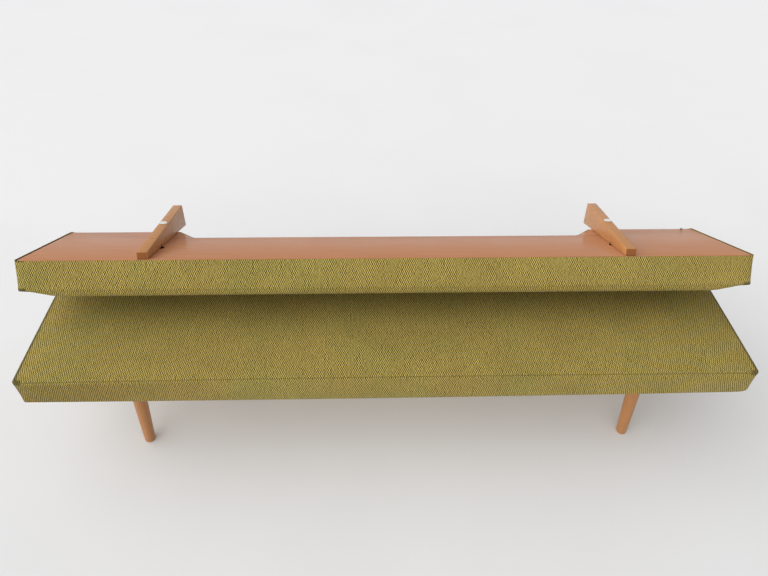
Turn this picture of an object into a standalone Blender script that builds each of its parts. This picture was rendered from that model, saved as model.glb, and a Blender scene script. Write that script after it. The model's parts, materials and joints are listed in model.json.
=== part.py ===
# Sofa with a folding backrest, in metres, +Z up, origin on the floor under the middle.
# X runs along the sofa and -Y is its front. The backrest lies folded forward over the seat,
# so its wooden rear panel faces up. It turns up and back about one axis behind the seat.

import math

import bmesh
import bpy
from mathutils import Vector

for old_object in list(bpy.data.objects):
    bpy.data.objects.remove(old_object, do_unlink=True)

# Clearances and material thicknesses
FIT_GAP = 0.0003
FABRIC = 0.0025

# The seat and the backrest are equally long
SOFA_LENGTH = 2.000

# Upholstered seat
SEAT_DEPTH = 0.495
SEAT_BORDER = 0.082
SEAT_CROWN = 0.012
SEAT_CROWN_REACH = 0.190
SEAT_CORNER_RADIUS = 0.014
SEAT_DRAW_IN = 0.004
SEAT_HEM_SAG = 0.010

# Seams and hems of both covers. Turns at a border's edges and rows of points are shares of its height.
HEM_SET_BACK = 0.002
SEAM_SET_BACK = 0.006
CORNER_SOFTENING = 0.1
BORDER_TURN_SHARE = 0.15
BORDER_ROW_SHARES = (0.88, 0.96)
CROWN_ROW_SHARES = (0.0, 0.06, 0.2, 0.45, 0.75, 1.0)
CROWN_ROUNDNESS = 2.2

# Seat frame
SEAT_RAIL_WIDTH = 0.045
SEAT_RAIL_HEIGHT = 0.036
CROSS_RAIL_CENTRE = 0.330
STRAP_COUNT = 8
STRAP_WIDTH = 0.060
STRAP_THICKNESS = 0.003
STRAP_FROM_END = 0.140
STRAP_END_SET_BACK = 0.008

# Bearers and legs
BEARER_WIDTH = 0.070
BEARER_HEIGHT = 0.036
BEARER_SET_BACK = 0.040
BEARER_FROM_END = 0.2595
EDGE_ROUND = 0.003
LEG_HEIGHT = 0.277
LEG_TOP_RADIUS = 0.023
LEG_FOOT_RADIUS = 0.014
LEG_FOOT_CHAMFER = 0.0025
LEG_SPLAY_SIDE = 0.0155
LEG_SPLAY_FRONT = 0.024
LEG_SET_BACK = 0.110
LEG_PLATE_SIDE = 0.062
LEG_PLATE_THICKNESS = 0.004
STUD_RADIUS = 0.005
STUD_IN_LEG = 0.045
STUD_IN_BEARER = 0.024

# Upholstered backrest, measured down its panel from the top edge
BACK_DEPTH = 0.344
BACK_BORDER = 0.082
BACK_CROWN = 0.014
BACK_CROWN_REACH = 0.110
BACK_CORNER_RADIUS = 0.008
BACK_DRAW_IN = 0.003
BACK_OVERHANG = 0.012
RIM_DROP = 0.001
NOTCH_DEPTH = 0.084
NOTCH_SLANT = 0.063
NOTCH_TO_ARM = 0.0017
NOTCH_INNER_RADIUS = 0.020
NOTCH_OUTER_RADIUS = 0.006
PANEL_THICKNESS = 0.010
BACK_RAIL_WIDTH = 0.045
BACK_RAIL_THICKNESS = 0.025

# Arms on the panel and their bolts. The arms are toed in: their tips lie closer together than their feet.
ARM_FROM_END = 0.3403
ARM_TOE_IN = math.radians(3.4)
ARM_WIDTH = 0.027
ARM_TIP_SET_BACK = 0.003
ARM_FOOT_BEYOND_BACK = 0.098
ARM_FRONT_HEIGHT = 0.020
ARM_REAR_HEIGHT = 0.0727
ARM_EDGE_ROUND = 0.002
ARM_HOLLOW_RADIUS = 0.006
ARM_HOLLOW_AT = 0.138
ARM_STILE_LAP = 0.009
BOLT_AT = 0.229
BOLT_RADIUS = 0.004
BOLT_HEAD_RADIUS = 0.011
BOLT_HEAD_RIM = 0.0015
BOLT_HEAD_DOME = 0.0025
BOLT_IN_STILE = 0.018

# Hinges and the two positions of the backrest
HINGE_FROM_END = 0.250
HINGE_BEHIND_SEAT = 0.023
HINGE_BELOW_SEAT = 0.020
HINGE_BEYOND_BACK = 0.0127
HINGE_BELOW_BACK = 0.012
HINGE_PLATE_WIDTH = 0.060
HINGE_PLATE_LENGTH = 0.050
HINGE_PLATE_THICKNESS = 0.004
HINGE_EAR_THICKNESS = 0.004
HINGE_SIDE_GAP = 0.0005
HINGE_SHOULDER = 0.006
HINGE_STEP = 0.0006
KNUCKLE_WIDTH = 0.014
EYE_RADIUS = 0.010
PIN_RADIUS = 0.0045
PIN_HEAD_RADIUS = 0.0075
PIN_HEAD_THICKNESS = 0.003
FOLDED_TILT = math.radians(25.5)
UPRIGHT_LEAN = math.radians(21.5)

# The board that stops the arms when the backrest is upright
FOOT_BOARD_WIDTH = 0.048
FOOT_BOARD_HEIGHT = 0.020
BEARER_BEYOND_HEEL = 0.003

# Facets, and how far a cutter passes through a face
CORNER_STEPS = 3
ROUND_STEPS = 24
EYE_STEPS = 10
SMOOTH_BELOW = math.radians(40)
CUT_PAST = 0.003

# Places along the length, from the middle
BEARER_CENTRE = SOFA_LENGTH / 2 - BEARER_FROM_END
ARM_CENTRE = SOFA_LENGTH / 2 - ARM_FROM_END
HINGE_CENTRE = SOFA_LENGTH / 2 - HINGE_FROM_END

# Heights that stack up from the floor
PLATE_BOTTOM = LEG_HEIGHT + FIT_GAP
BEARER_BOTTOM = PLATE_BOTTOM + LEG_PLATE_THICKNESS + FIT_GAP
BEARER_TOP = BEARER_BOTTOM + BEARER_HEIGHT
SEAT_BOTTOM = BEARER_TOP + FIT_GAP
SEAT_TOP = SEAT_BOTTOM + SEAT_BORDER
STRAP_BOTTOM = SEAT_BOTTOM + SEAT_RAIL_HEIGHT + FIT_GAP
SEAT_FOAM_BOTTOM = STRAP_BOTTOM + STRAP_THICKNESS + FIT_GAP

# The hinge axis, in the panel's frame: down from the top edge and out from the panel's face
AXIS_DOWN = BACK_DEPTH + HINGE_BEYOND_BACK
AXIS_OUT = -(BACK_BORDER + HINGE_BELOW_BACK)

# The arm's foot is cut so that it is level when the backrest is upright
ARM_FOOT_DOWN = BACK_DEPTH + ARM_FOOT_BEYOND_BACK
ARM_HEEL_DOWN = ARM_FOOT_DOWN - ARM_REAR_HEIGHT * math.tan(UPRIGHT_LEAN)

# How far the arm's heel then lies from the axis, up the leaning panel and out of it, and level behind it
HEEL_UP = AXIS_DOWN - ARM_HEEL_DOWN
HEEL_OUT = ARM_REAR_HEIGHT - AXIS_OUT
HEEL_BEHIND = HEEL_UP * math.sin(UPRIGHT_LEAN) + HEEL_OUT * math.cos(UPRIGHT_LEAN)

# Distances behind the seat's front edge, and the frame that centres the sofa on its origin
AXIS_BACK = SEAT_DEPTH + HINGE_BEHIND_SEAT
OVERALL_DEPTH = AXIS_BACK + HEEL_BEHIND + BEARER_BEYOND_HEEL
AXIS_Z = SEAT_TOP - HINGE_BELOW_SEAT

FINISHES = {
    "fabric": ((0.23, 0.20, 0.055), 0.90, 0.0),
    "panel veneer": ((0.50, 0.27, 0.16), 0.35, 0.0),
    "arm wood": ((0.52, 0.27, 0.12), 0.40, 0.0),
    "leg wood": ((0.42, 0.20, 0.08), 0.40, 0.0),
    "frame wood": ((0.62, 0.47, 0.29), 0.70, 0.0),
    "webbing": ((0.30, 0.22, 0.12), 0.90, 0.0),
    "foam": ((0.80, 0.70, 0.45), 0.95, 0.0),
    "steel": ((0.30, 0.30, 0.31), 0.40, 1.0),
    "polished metal": ((0.80, 0.79, 0.76), 0.15, 1.0),
}

# Backrest pieces hang on this empty: its X is the hinge axis, its Y runs down the panel
# and its Z points out of the panel.
backrest_axis = bpy.data.objects.new("backrest_axis", None)
backrest_axis.location = (0.0, AXIS_BACK - OVERALL_DEPTH / 2, AXIS_Z)
backrest_axis.rotation_euler = (-FOLDED_TILT, 0.0, 0.0)
bpy.context.scene.collection.objects.link(backrest_axis)


# A place in the sofa's frame, given its distance behind the seat's front edge
def place(x, behind, z):
    return Vector((x, behind - OVERALL_DEPTH / 2, z))


# A place in the panel's frame, seen from the hinge axis
def on_back(x, down, out):
    return Vector((x, down - AXIS_DOWN, out - AXIS_OUT))


# Places on an arm: across it, along it from the panel's top edge, and out from the panel
def on_arm(side):
    c, s = math.cos(ARM_TOE_IN), math.sin(ARM_TOE_IN)

    def put(across, along, out):
        return on_back(side * (ARM_CENTRE + along * s + across * c), along * c - across * s, out)

    return put


def give_finish(piece, finish):
    colour, roughness, metallic = FINISHES[finish]
    surface = bpy.data.materials.new(piece.name + " " + finish)
    surface.use_nodes = True
    shader = surface.node_tree.nodes["Principled BSDF"]
    shader.inputs["Base Color"].default_value = (*colour, 1.0)
    shader.inputs["Roughness"].default_value = roughness
    shader.inputs["Metallic"].default_value = metallic
    piece.data.materials.append(surface)


# Turns a bmesh into a named piece; a smooth piece keeps its sharp edges
def finish_piece(name, shape, finish, parent=None, smooth=False):
    bmesh.ops.recalc_face_normals(shape, faces=shape.faces)
    mesh = bpy.data.meshes.new(name)
    shape.to_mesh(mesh)
    shape.free()
    if smooth:
        mesh.shade_smooth()
        mesh.set_sharp_from_angle(angle=SMOOTH_BELOW)
    piece = bpy.data.objects.new(name, mesh)
    piece.parent = parent
    bpy.context.scene.collection.objects.link(piece)
    if finish:
        give_finish(piece, finish)
    return piece


def box(name, low, high, finish, parent=None, edge_round=0.0):
    size = high - low
    shape = bmesh.new()
    bmesh.ops.create_cube(shape, size=1.0)
    bmesh.ops.scale(shape, vec=size, verts=shape.verts)
    bmesh.ops.translate(shape, vec=(low + high) / 2, verts=shape.verts)
    if edge_round:
        bmesh.ops.bevel(shape, geom=shape.edges[:], offset=edge_round, segments=1, affect="EDGES")
    return finish_piece(name, shape, finish, parent)


# A turned piece: the profile holds (radius, height) pairs from its lower to its upper end
def turned(name, profile, foot, axis, finish, parent=None):
    axis = axis.normalized()
    side = axis.orthogonal().normalized()
    across = axis.cross(side)
    shape = bmesh.new()
    rings = []
    for radius, height in profile:
        centre = foot + axis * height
        ring = []
        for step in range(ROUND_STEPS):
            angle = 2 * math.pi * step / ROUND_STEPS
            spoke = math.cos(angle) * side + math.sin(angle) * across
            ring.append(shape.verts.new(centre + radius * spoke))
        rings.append(ring)
    join_rings(shape, rings)
    shape.faces.new(rings[0])
    shape.faces.new(rings[-1])
    return finish_piece(name, shape, finish, parent, smooth=True)


def join_rings(shape, rings):
    for lower, upper in zip(rings, rings[1:]):
        count = len(lower)
        for i in range(count):
            k = (i + 1) % count
            shape.faces.new((lower[i], lower[k], upper[k], upper[i]))


# A flat outline pulled along X
def pulled(name, outline, x_low, x_high, put, finish, parent=None):
    shape = bmesh.new()
    near = [shape.verts.new(put(x_low, *point)) for point in outline]
    far = [shape.verts.new(put(x_high, *point)) for point in outline]
    join_rings(shape, [near, far])
    shape.faces.new(near)
    shape.faces.new(far)
    return finish_piece(name, shape, finish, parent)


def round_edges(piece, width, segments):
    edges = piece.modifiers.new("rounded edges", "BEVEL")
    edges.width = width
    edges.segments = segments
    edges.limit_method = "ANGLE"
    edges.angle_limit = SMOOTH_BELOW


def as_cutter(tool):
    tool.hide_render = True
    tool.display_type = "WIRE"
    return tool


def combine(piece, tool, operation):
    step = piece.modifiers.new(tool.name, "BOOLEAN")
    step.operation = operation
    step.object = as_cutter(tool)
    step.solver = "EXACT"


# Cuts a round hole between two heights on an axis
def bore(piece, radius, foot, axis, low, high):
    name = piece.name + "_hole_" + str(len(piece.modifiers))
    cutter = turned(name, [(radius, low), (radius, high)], foot, axis, None, piece.parent)
    combine(piece, cutter, "DIFFERENCE")


# One rounded corner of an outline, as points with their outward directions
def corner_points(corner, before, after, radius):
    turn = math.atan2(before.x * after.y - before.y * after.x, before.dot(after))
    side = math.copysign(1.0, turn)
    out_before = Vector((before.y, -before.x))
    out_after = Vector((after.y, -after.x))
    middle = (out_before + out_after).normalized()
    centre = corner - side * middle * radius / math.cos(turn / 2)
    points = []
    for step in range(CORNER_STEPS + 1):
        angle = turn * step / CORNER_STEPS
        c, s = math.cos(angle), math.sin(angle)
        out = Vector((c * out_before.x - s * out_before.y, s * out_before.x + c * out_before.y))
        points.append((centre + side * radius * out, out))
    return points


# An outline set in from its corners' polygon. Corners turn anticlockwise, each with its radius,
# and with the steps and the draw-in of the side that follows it.
def soft_outline(corners, inset, draw_share=1.0):
    count = len(corners)
    places = [Vector(corner[0]) for corner in corners]
    sides = [(places[(i + 1) % count] - places[i]).normalized() for i in range(count)]
    rounded = []
    for i in range(count):
        before, after = sides[i - 1], sides[i]
        inward = Vector((-before.y, before.x)) + Vector((-after.y, after.x))
        shifted = places[i] + inward * inset / (1 + before.dot(after))
        convex = before.x * after.y - before.y * after.x > 0
        radius = corners[i][1] + max(inset, 0.0) * (CORNER_SOFTENING if convex else 1.0)
        rounded.append(corner_points(shifted, before, after, radius))
    points = []
    for i in range(count):
        points.extend(rounded[i])
        start = rounded[i][-1][0]
        end = rounded[(i + 1) % count][0][0]
        out = Vector((sides[i].y, -sides[i].x))
        steps, draw_in = corners[i][2:]
        for step in range(1, steps):
            share = step / steps
            bow = draw_share * draw_in * 4 * share * (1 - share)
            points.append((start.lerp(end, share) - out * bow, out))
    return points


# How far a border is set in at a share of its height, from its open edge to its seam
def border_set_in(share, open_edge):
    at_edge = open_edge * max(0.0, 1 - share / BORDER_TURN_SHARE)
    at_seam = SEAM_SET_BACK * max(0.0, 1 - (1 - share) / BORDER_TURN_SHARE) ** 2
    return at_edge + at_seam


# Height of a crowned face above its seam, at a distance in from the seam
def crown_rise(distance, crown, reach):
    return crown * (1 - (1 - min(distance / reach, 1.0)) ** CROWN_ROUNDNESS)


# Rows of a padded form as (set in, height, share of border): up the border, then over the crown.
# Wall is how far the rows lie inside the outer skin. The foam starts part of the way up the border.
def pad_rows(border, crown, reach, open_edge, foam_start, wall, is_foam):
    shares = (foam_start,) + BORDER_ROW_SHARES
    if not is_foam:
        shares = (0.0,) + shares
    rows = []
    for share in shares:
        rows.append((border_set_in(share, open_edge) + wall, share * border, share))
    for distance in CROWN_ROW_SHARES:
        inset = SEAM_SET_BACK + distance * reach + wall
        rows.append((inset, border + crown_rise(distance * reach, crown, reach) - wall, 1.0))
    return rows


# Joins rows of a padded form by triangles that all lean the same way, so nested skins stay apart
def join_soft_rows(shape, rows):
    for lower, upper in zip(rows, rows[1:]):
        count = len(lower)
        for i in range(count):
            k = (i + 1) % count
            shape.faces.new((lower[i], lower[k], upper[k]))
            shape.faces.new((lower[i], upper[k], upper[i]))


# Closes rows of points into a skin with walls, or into a solid where there is no inner row
def padded_piece(name, outer_rows, inner_rows, finish, parent=None):
    shape = bmesh.new()
    outer = [[shape.verts.new(point) for point in row] for row in outer_rows]
    inner = [[shape.verts.new(point) for point in row] for row in inner_rows]
    join_soft_rows(shape, outer)
    shape.faces.new(outer[-1])
    if inner:
        join_soft_rows(shape, inner)
        shape.faces.new(inner[-1])
        join_soft_rows(shape, [outer[0], inner[0]])
    else:
        shape.faces.new(outer[0])
    return finish_piece(name, shape, finish, parent, smooth=True)


def mirror_names(name):
    return ((-1, "left_" + name), (1, "right_" + name))


# Seat cover and foam. The front border hangs a little lower in its middle, the rear is straight.
def seat_rows(wall, is_foam=False):
    half = SOFA_LENGTH / 2
    foam_start = (SEAT_FOAM_BOTTOM - SEAT_BOTTOM) / SEAT_BORDER
    form = (SEAT_BORDER, SEAT_CROWN, SEAT_CROWN_REACH, HEM_SET_BACK)
    corners = (
        ((-half, 0.0), SEAT_CORNER_RADIUS, 10, SEAT_DRAW_IN),
        ((half, 0.0), SEAT_CORNER_RADIUS, 4, SEAT_DRAW_IN),
        ((half, SEAT_DEPTH), SEAT_CORNER_RADIUS, 10, 0.0),
        ((-half, SEAT_DEPTH), SEAT_CORNER_RADIUS, 4, SEAT_DRAW_IN),
    )
    rows = []
    for inset, height, share in pad_rows(*form, foam_start, wall, is_foam):
        row = []
        for point, out in soft_outline(corners, inset):
            middle = max(0.0, 1 - (point.x / half) ** 2)
            sag = SEAT_HEM_SAG * middle * max(0.0, -out.y) * max(0.0, 1 - share / foam_start)
            row.append(place(point.x, point.y, SEAT_BOTTOM + height - sag))
        rows.append(row)
    return rows


def make_seat_padding():
    padded_piece("seat_cover", seat_rows(0.0), seat_rows(FABRIC), "fabric")
    padded_piece("seat_foam", seat_rows(FABRIC + FIT_GAP, is_foam=True), [], "foam")


# Rails stand just inside the cover, also where its rounded corners cut across theirs
def rail_set_in(corner_radius, draw_in):
    wall = HEM_SET_BACK + FABRIC
    radius = corner_radius + CORNER_SOFTENING * wall
    facet = radius * math.cos(math.pi / (4 * CORNER_STEPS))
    at_corner = wall + radius - (facet - FIT_GAP) / math.sqrt(2)
    return max(wall + FIT_GAP + draw_in, at_corner)


def make_seat_frame():
    set_in = rail_set_in(SEAT_CORNER_RADIUS, SEAT_DRAW_IN)
    half = SOFA_LENGTH / 2 - set_in
    front, rear = set_in, SEAT_DEPTH - set_in
    low, high = SEAT_BOTTOM, SEAT_BOTTOM + SEAT_RAIL_HEIGHT

    def rail(name, x_low, x_high, y_low, y_high):
        box("seat_" + name, place(x_low, y_low, low), place(x_high, y_high, high), "frame wood")

    rail("front_rail", -half, half, front, front + SEAT_RAIL_WIDTH)
    rail("rear_rail", -half, half, rear - SEAT_RAIL_WIDTH, rear)
    inner_front = front + SEAT_RAIL_WIDTH + FIT_GAP
    inner_rear = rear - SEAT_RAIL_WIDTH - FIT_GAP
    for side, name in mirror_names("rail"):
        end = sorted((side * half, side * (half - SEAT_RAIL_WIDTH)))
        rail(name, end[0], end[1], inner_front, inner_rear)
    for side, name in mirror_names("cross_rail"):
        middle = side * CROSS_RAIL_CENTRE
        rail(name, middle - SEAT_RAIL_WIDTH / 2, middle + SEAT_RAIL_WIDTH / 2, inner_front, inner_rear)
    make_webbing(front + STRAP_END_SET_BACK, rear - STRAP_END_SET_BACK)


def make_webbing(front, rear):
    for number in range(STRAP_COUNT):
        middle = (SOFA_LENGTH - 2 * STRAP_FROM_END) * (number / (STRAP_COUNT - 1) - 0.5)
        low = place(middle - STRAP_WIDTH / 2, front, STRAP_BOTTOM)
        high = place(middle + STRAP_WIDTH / 2, rear, STRAP_BOTTOM + STRAP_THICKNESS)
        box("seat_webbing_" + str(number + 1), low, high, "webbing")


# How far behind the seat's front edge the arms' undersides pass a height when the backrest is upright
def arm_behind(z):
    return AXIS_BACK - AXIS_OUT / math.cos(UPRIGHT_LEAN) + (z - AXIS_Z) * math.tan(UPRIGHT_LEAN)


# Two bearers under the seat. The foot board across their rear ends has a slanted rear face,
# which the arms' feet come to rest against.
def make_bearers():
    for side, name in mirror_names("bearer"):
        middle = side * BEARER_CENTRE
        low = place(middle - BEARER_WIDTH / 2, BEARER_SET_BACK, BEARER_BOTTOM)
        high = place(middle + BEARER_WIDTH / 2, OVERALL_DEPTH, BEARER_TOP)
        bearer = box(name, low, high, "frame wood", edge_round=EDGE_ROUND)
        for behind in (LEG_SET_BACK, OVERALL_DEPTH - LEG_SET_BACK):
            mouth = place(middle, behind, BEARER_BOTTOM)
            hole_top = STUD_IN_BEARER + FIT_GAP
            bore(bearer, STUD_RADIUS + FIT_GAP, mouth, Vector((0, 0, 1)), -CUT_PAST, hole_top)
    end = BEARER_CENTRE + BEARER_WIDTH / 2
    low = BEARER_TOP + FIT_GAP
    high = low + FOOT_BOARD_HEIGHT
    front = arm_behind(low) - FOOT_BOARD_WIDTH
    outline = [(front, low), (arm_behind(low), low), (arm_behind(high), high), (front, high)]
    board = pulled("foot_board", outline, -end, end, place, "arm wood")
    round_edges(board, EDGE_ROUND, 1)


# A splayed leg with level ends, its plate and the stud that holds both to the bearer
def make_leg(name, side, end, behind):
    top = place(side * BEARER_CENTRE, behind, LEG_HEIGHT)
    splay = Vector((side * LEG_SPLAY_SIDE, end * LEG_SPLAY_FRONT, -LEG_HEIGHT))
    shape = bmesh.new()
    rings = []
    hole = STUD_RADIUS + FIT_GAP
    hole_floor = LEG_HEIGHT - STUD_IN_LEG - FIT_GAP
    profile = (
        (LEG_FOOT_RADIUS - LEG_FOOT_CHAMFER, 0.0, True),
        (LEG_FOOT_RADIUS, LEG_FOOT_CHAMFER, True),
        (LEG_TOP_RADIUS, LEG_HEIGHT, True),
        (hole, LEG_HEIGHT, False),
        (hole, hole_floor, False),
    )
    for radius, height, splayed in profile:
        centre = top + splay * (1 - height / LEG_HEIGHT)
        if not splayed:
            centre = Vector((top.x, top.y, height))
        ring = []
        for step in range(ROUND_STEPS):
            angle = 2 * math.pi * step / ROUND_STEPS
            spoke = Vector((math.cos(angle), math.sin(angle), 0.0))
            ring.append(shape.verts.new(centre + radius * spoke))
        rings.append(ring)
    join_rings(shape, rings)
    shape.faces.new(rings[0])
    shape.faces.new(rings[-1])
    finish_piece(name + "_leg", shape, "leg wood", smooth=True)

    reach = Vector((LEG_PLATE_SIDE / 2, LEG_PLATE_SIDE / 2, 0.0))
    plate_low = Vector((top.x, top.y, PLATE_BOTTOM)) - reach
    plate_high = Vector((top.x, top.y, PLATE_BOTTOM + LEG_PLATE_THICKNESS)) + reach
    plate = box(name + "_leg_plate", plate_low, plate_high, "steel")
    through = (-CUT_PAST, LEG_PLATE_THICKNESS + CUT_PAST)
    bore(plate, hole, Vector((top.x, top.y, PLATE_BOTTOM)), Vector((0, 0, 1)), *through)
    stud_length = BEARER_BOTTOM - LEG_HEIGHT + STUD_IN_LEG + STUD_IN_BEARER
    stud_foot = top - Vector((0, 0, STUD_IN_LEG))
    stud = [(STUD_RADIUS, 0.0), (STUD_RADIUS, stud_length)]
    turned(name + "_leg_stud", stud, stud_foot, Vector((0, 0, 1)), "steel")


def make_legs():
    for end, row, behind in ((-1, "front", LEG_SET_BACK), (1, "rear", OVERALL_DEPTH - LEG_SET_BACK)):
        for side, name in ((-1, row + "_left"), (1, row + "_right")):
            make_leg(name, side, end, behind)


# Corners of the backrest, seen from the panel's face, with the notch in its lower edge.
# The lower edges beside the notch are straight, where the hinges sit.
def back_corners():
    half = SOFA_LENGTH / 2
    notch_far = ARM_CENTRE - NOTCH_TO_ARM
    notch_near = notch_far - NOTCH_SLANT
    notch_edge = BACK_DEPTH - NOTCH_DEPTH
    return (
        ((-half, 0.0), BACK_CORNER_RADIUS, 10, BACK_DRAW_IN),
        ((half, 0.0), BACK_CORNER_RADIUS, 3, BACK_DRAW_IN),
        ((half, BACK_DEPTH), BACK_CORNER_RADIUS, 3, 0.0),
        ((notch_far, BACK_DEPTH), NOTCH_OUTER_RADIUS, 1, 0.0),
        ((notch_near, notch_edge), NOTCH_INNER_RADIUS, 8, BACK_DRAW_IN),
        ((-notch_near, notch_edge), NOTCH_INNER_RADIUS, 1, 0.0),
        ((-notch_far, BACK_DEPTH), NOTCH_OUTER_RADIUS, 3, 0.0),
        ((-half, BACK_DEPTH), BACK_CORNER_RADIUS, 3, BACK_DRAW_IN),
    )


# Rows of the backrest's padding. The border of its top edge leans out towards the padded face.
def back_rows(wall, is_foam=False):
    foam_start = (PANEL_THICKNESS + BACK_RAIL_THICKNESS + 2 * FIT_GAP) / BACK_BORDER
    form = (BACK_BORDER, BACK_CROWN, BACK_CROWN_REACH, 0.0)
    rows = []
    for inset, height, share in pad_rows(*form, foam_start, wall, is_foam):
        row = []
        for point, out in soft_outline(back_corners(), inset, share):
            overhang = BACK_OVERHANG * share * max(0.0, -out.y)
            row.append(on_back(point.x, point.y - overhang, -max(height, RIM_DROP)))
        rows.append(row)
    return rows


def make_back_padding():
    padded_piece("backrest_cover", back_rows(0.0), back_rows(FABRIC), "fabric", backrest_axis)
    padded_piece("backrest_foam", back_rows(FABRIC + FIT_GAP, is_foam=True), [], "foam", backrest_axis)


# The panel drops into the cover's open rim, and follows the border's draw-in over its thickness
def make_panel():
    outline = soft_outline(back_corners(), FABRIC + FIT_GAP, PANEL_THICKNESS / BACK_BORDER)
    shape = bmesh.new()
    under = [shape.verts.new(on_back(point.x, point.y, -PANEL_THICKNESS)) for point, out in outline]
    face = [shape.verts.new(on_back(point.x, point.y, 0.0)) for point, out in outline]
    join_rings(shape, [under, face])
    shape.faces.new(under)
    shape.faces.new(face)
    panel = finish_piece("back_panel", shape, "panel veneer", backrest_axis)
    for side in (-1, 1):
        foot, axis = bolt_line(side)
        bore(panel, BOLT_RADIUS + FIT_GAP, foot, axis, -bolt_length() - FIT_GAP, FIT_GAP)


def make_back_frame():
    set_in = rail_set_in(BACK_CORNER_RADIUS, BACK_DRAW_IN)
    half = SOFA_LENGTH / 2 - set_in
    high = -(PANEL_THICKNESS + FIT_GAP)
    low = high - BACK_RAIL_THICKNESS
    upper = set_in + BACK_RAIL_WIDTH + FIT_GAP
    lower = BACK_DEPTH - set_in
    stile_outer = half - BACK_RAIL_WIDTH
    bolt_centre = ARM_CENTRE + (ARM_TIP_SET_BACK + BOLT_AT) * math.sin(ARM_TOE_IN)
    arm_stile_inner = bolt_centre - BACK_RAIL_WIDTH / 2
    arm_stile_outer = arm_stile_inner + BACK_RAIL_WIDTH
    foot_rail_upper = lower - BACK_RAIL_WIDTH
    notch_rail_lower = BACK_DEPTH - NOTCH_DEPTH - set_in

    def rail(name, x_a, x_b, down_low, down_high):
        x_low, x_high = sorted((x_a, x_b))
        start = on_back(x_low, down_low, low)
        end = on_back(x_high, down_high, high)
        return box(name, start, end, "frame wood", backrest_axis)

    rail("backrest_top_rail", -half, half, set_in, set_in + BACK_RAIL_WIDTH)
    notch_rail_end = arm_stile_inner - FIT_GAP
    notch_rail_upper = notch_rail_lower - BACK_RAIL_WIDTH
    rail("backrest_notch_rail", -notch_rail_end, notch_rail_end, notch_rail_upper, notch_rail_lower)
    for side, name in mirror_names("end_stile"):
        rail(name, side * stile_outer, side * half, upper, lower)
    for side, name in mirror_names("foot_rail"):
        near, far = arm_stile_outer + FIT_GAP, stile_outer - FIT_GAP
        rail(name, side * near, side * far, foot_rail_upper, lower)
    for side, name in mirror_names("arm_stile"):
        near, far = side * arm_stile_inner, side * arm_stile_outer
        stile = rail(name, near, far, upper, foot_rail_upper + ARM_STILE_LAP)
        foot, axis = bolt_line(side)
        bore(stile, BOLT_RADIUS + FIT_GAP, foot, axis, -bolt_length() - FIT_GAP, FIT_GAP)


def arm_slope():
    return math.atan2(ARM_REAR_HEIGHT - ARM_FRONT_HEIGHT, ARM_HEEL_DOWN - ARM_TIP_SET_BACK)


# Height of the arm's sloping edge at a distance from its tip
def arm_height(distance):
    return ARM_FRONT_HEIGHT + distance * math.tan(arm_slope())


# Where the bolt's head sits on the arm's sloping edge, and the direction it is driven from
def bolt_line(side):
    put = on_arm(side)
    foot = put(0.0, ARM_TIP_SET_BACK + BOLT_AT, FIT_GAP + arm_height(BOLT_AT))
    lean = put(0.0, -math.sin(arm_slope()), math.cos(arm_slope())) - put(0.0, 0.0, 0.0)
    return foot, lean


def bolt_length():
    depth = arm_height(BOLT_AT) + PANEL_THICKNESS + 2 * FIT_GAP + BOLT_IN_STILE
    return depth / math.cos(arm_slope())


# The arm's side: flat on the panel, with a straight sloping edge and a foot that is level when upright
def arm_outline():
    seat = FIT_GAP
    return [
        (ARM_TIP_SET_BACK, seat),
        (ARM_FOOT_DOWN, seat),
        (ARM_HEEL_DOWN, seat + ARM_REAR_HEIGHT),
        (ARM_TIP_SET_BACK, seat + ARM_FRONT_HEIGHT),
    ]


def make_arms():
    reach = ARM_WIDTH / 2
    for side, name in mirror_names("arm"):
        put = on_arm(side)
        arm = pulled(name, arm_outline(), -reach, reach, put, "arm wood", backrest_axis)
        round_edges(arm, ARM_EDGE_ROUND, 2)
        foot, axis = bolt_line(side)
        bore(arm, BOLT_RADIUS + FIT_GAP, foot, axis, -bolt_length(), ARM_REAR_HEIGHT)
        hollow_at = ARM_TIP_SET_BACK + ARM_HOLLOW_AT
        hollow = put(0.0, hollow_at, 0.0)
        across = put(1.0, hollow_at, 0.0) - hollow
        bore(arm, ARM_HOLLOW_RADIUS, hollow, across, -ARM_WIDTH, ARM_WIDTH)


def make_arm_bolts():
    rim = FIT_GAP + BOLT_HEAD_RIM
    profile = [
        (BOLT_RADIUS, -bolt_length()),
        (BOLT_RADIUS, FIT_GAP),
        (BOLT_HEAD_RADIUS, FIT_GAP),
        (BOLT_HEAD_RADIUS, rim),
    ]
    for degrees in (30, 60, 80):
        angle = math.radians(degrees)
        profile.append((BOLT_HEAD_RADIUS * math.cos(angle), rim + BOLT_HEAD_DOME * math.sin(angle)))
    for side, name in mirror_names("arm_bolt"):
        foot, axis = bolt_line(side)
        turned(name, profile, foot, axis, "polished metal", backrest_axis)


# Points on the hinge's eye between two angles
def eye_arc(centre_a, centre_b, start, end):
    points = []
    for step in range(EYE_STEPS + 1):
        angle = math.radians(start + (end - start) * step / EYE_STEPS)
        reach_a, reach_b = EYE_RADIUS * math.cos(angle), EYE_RADIUS * math.sin(angle)
        points.append((centre_a + reach_a, centre_b + reach_b))
    return points


def hinge_ear_offset():
    return KNUCKLE_WIDTH / 2 + HINGE_SIDE_GAP + HINGE_EAR_THICKNESS / 2


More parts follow.
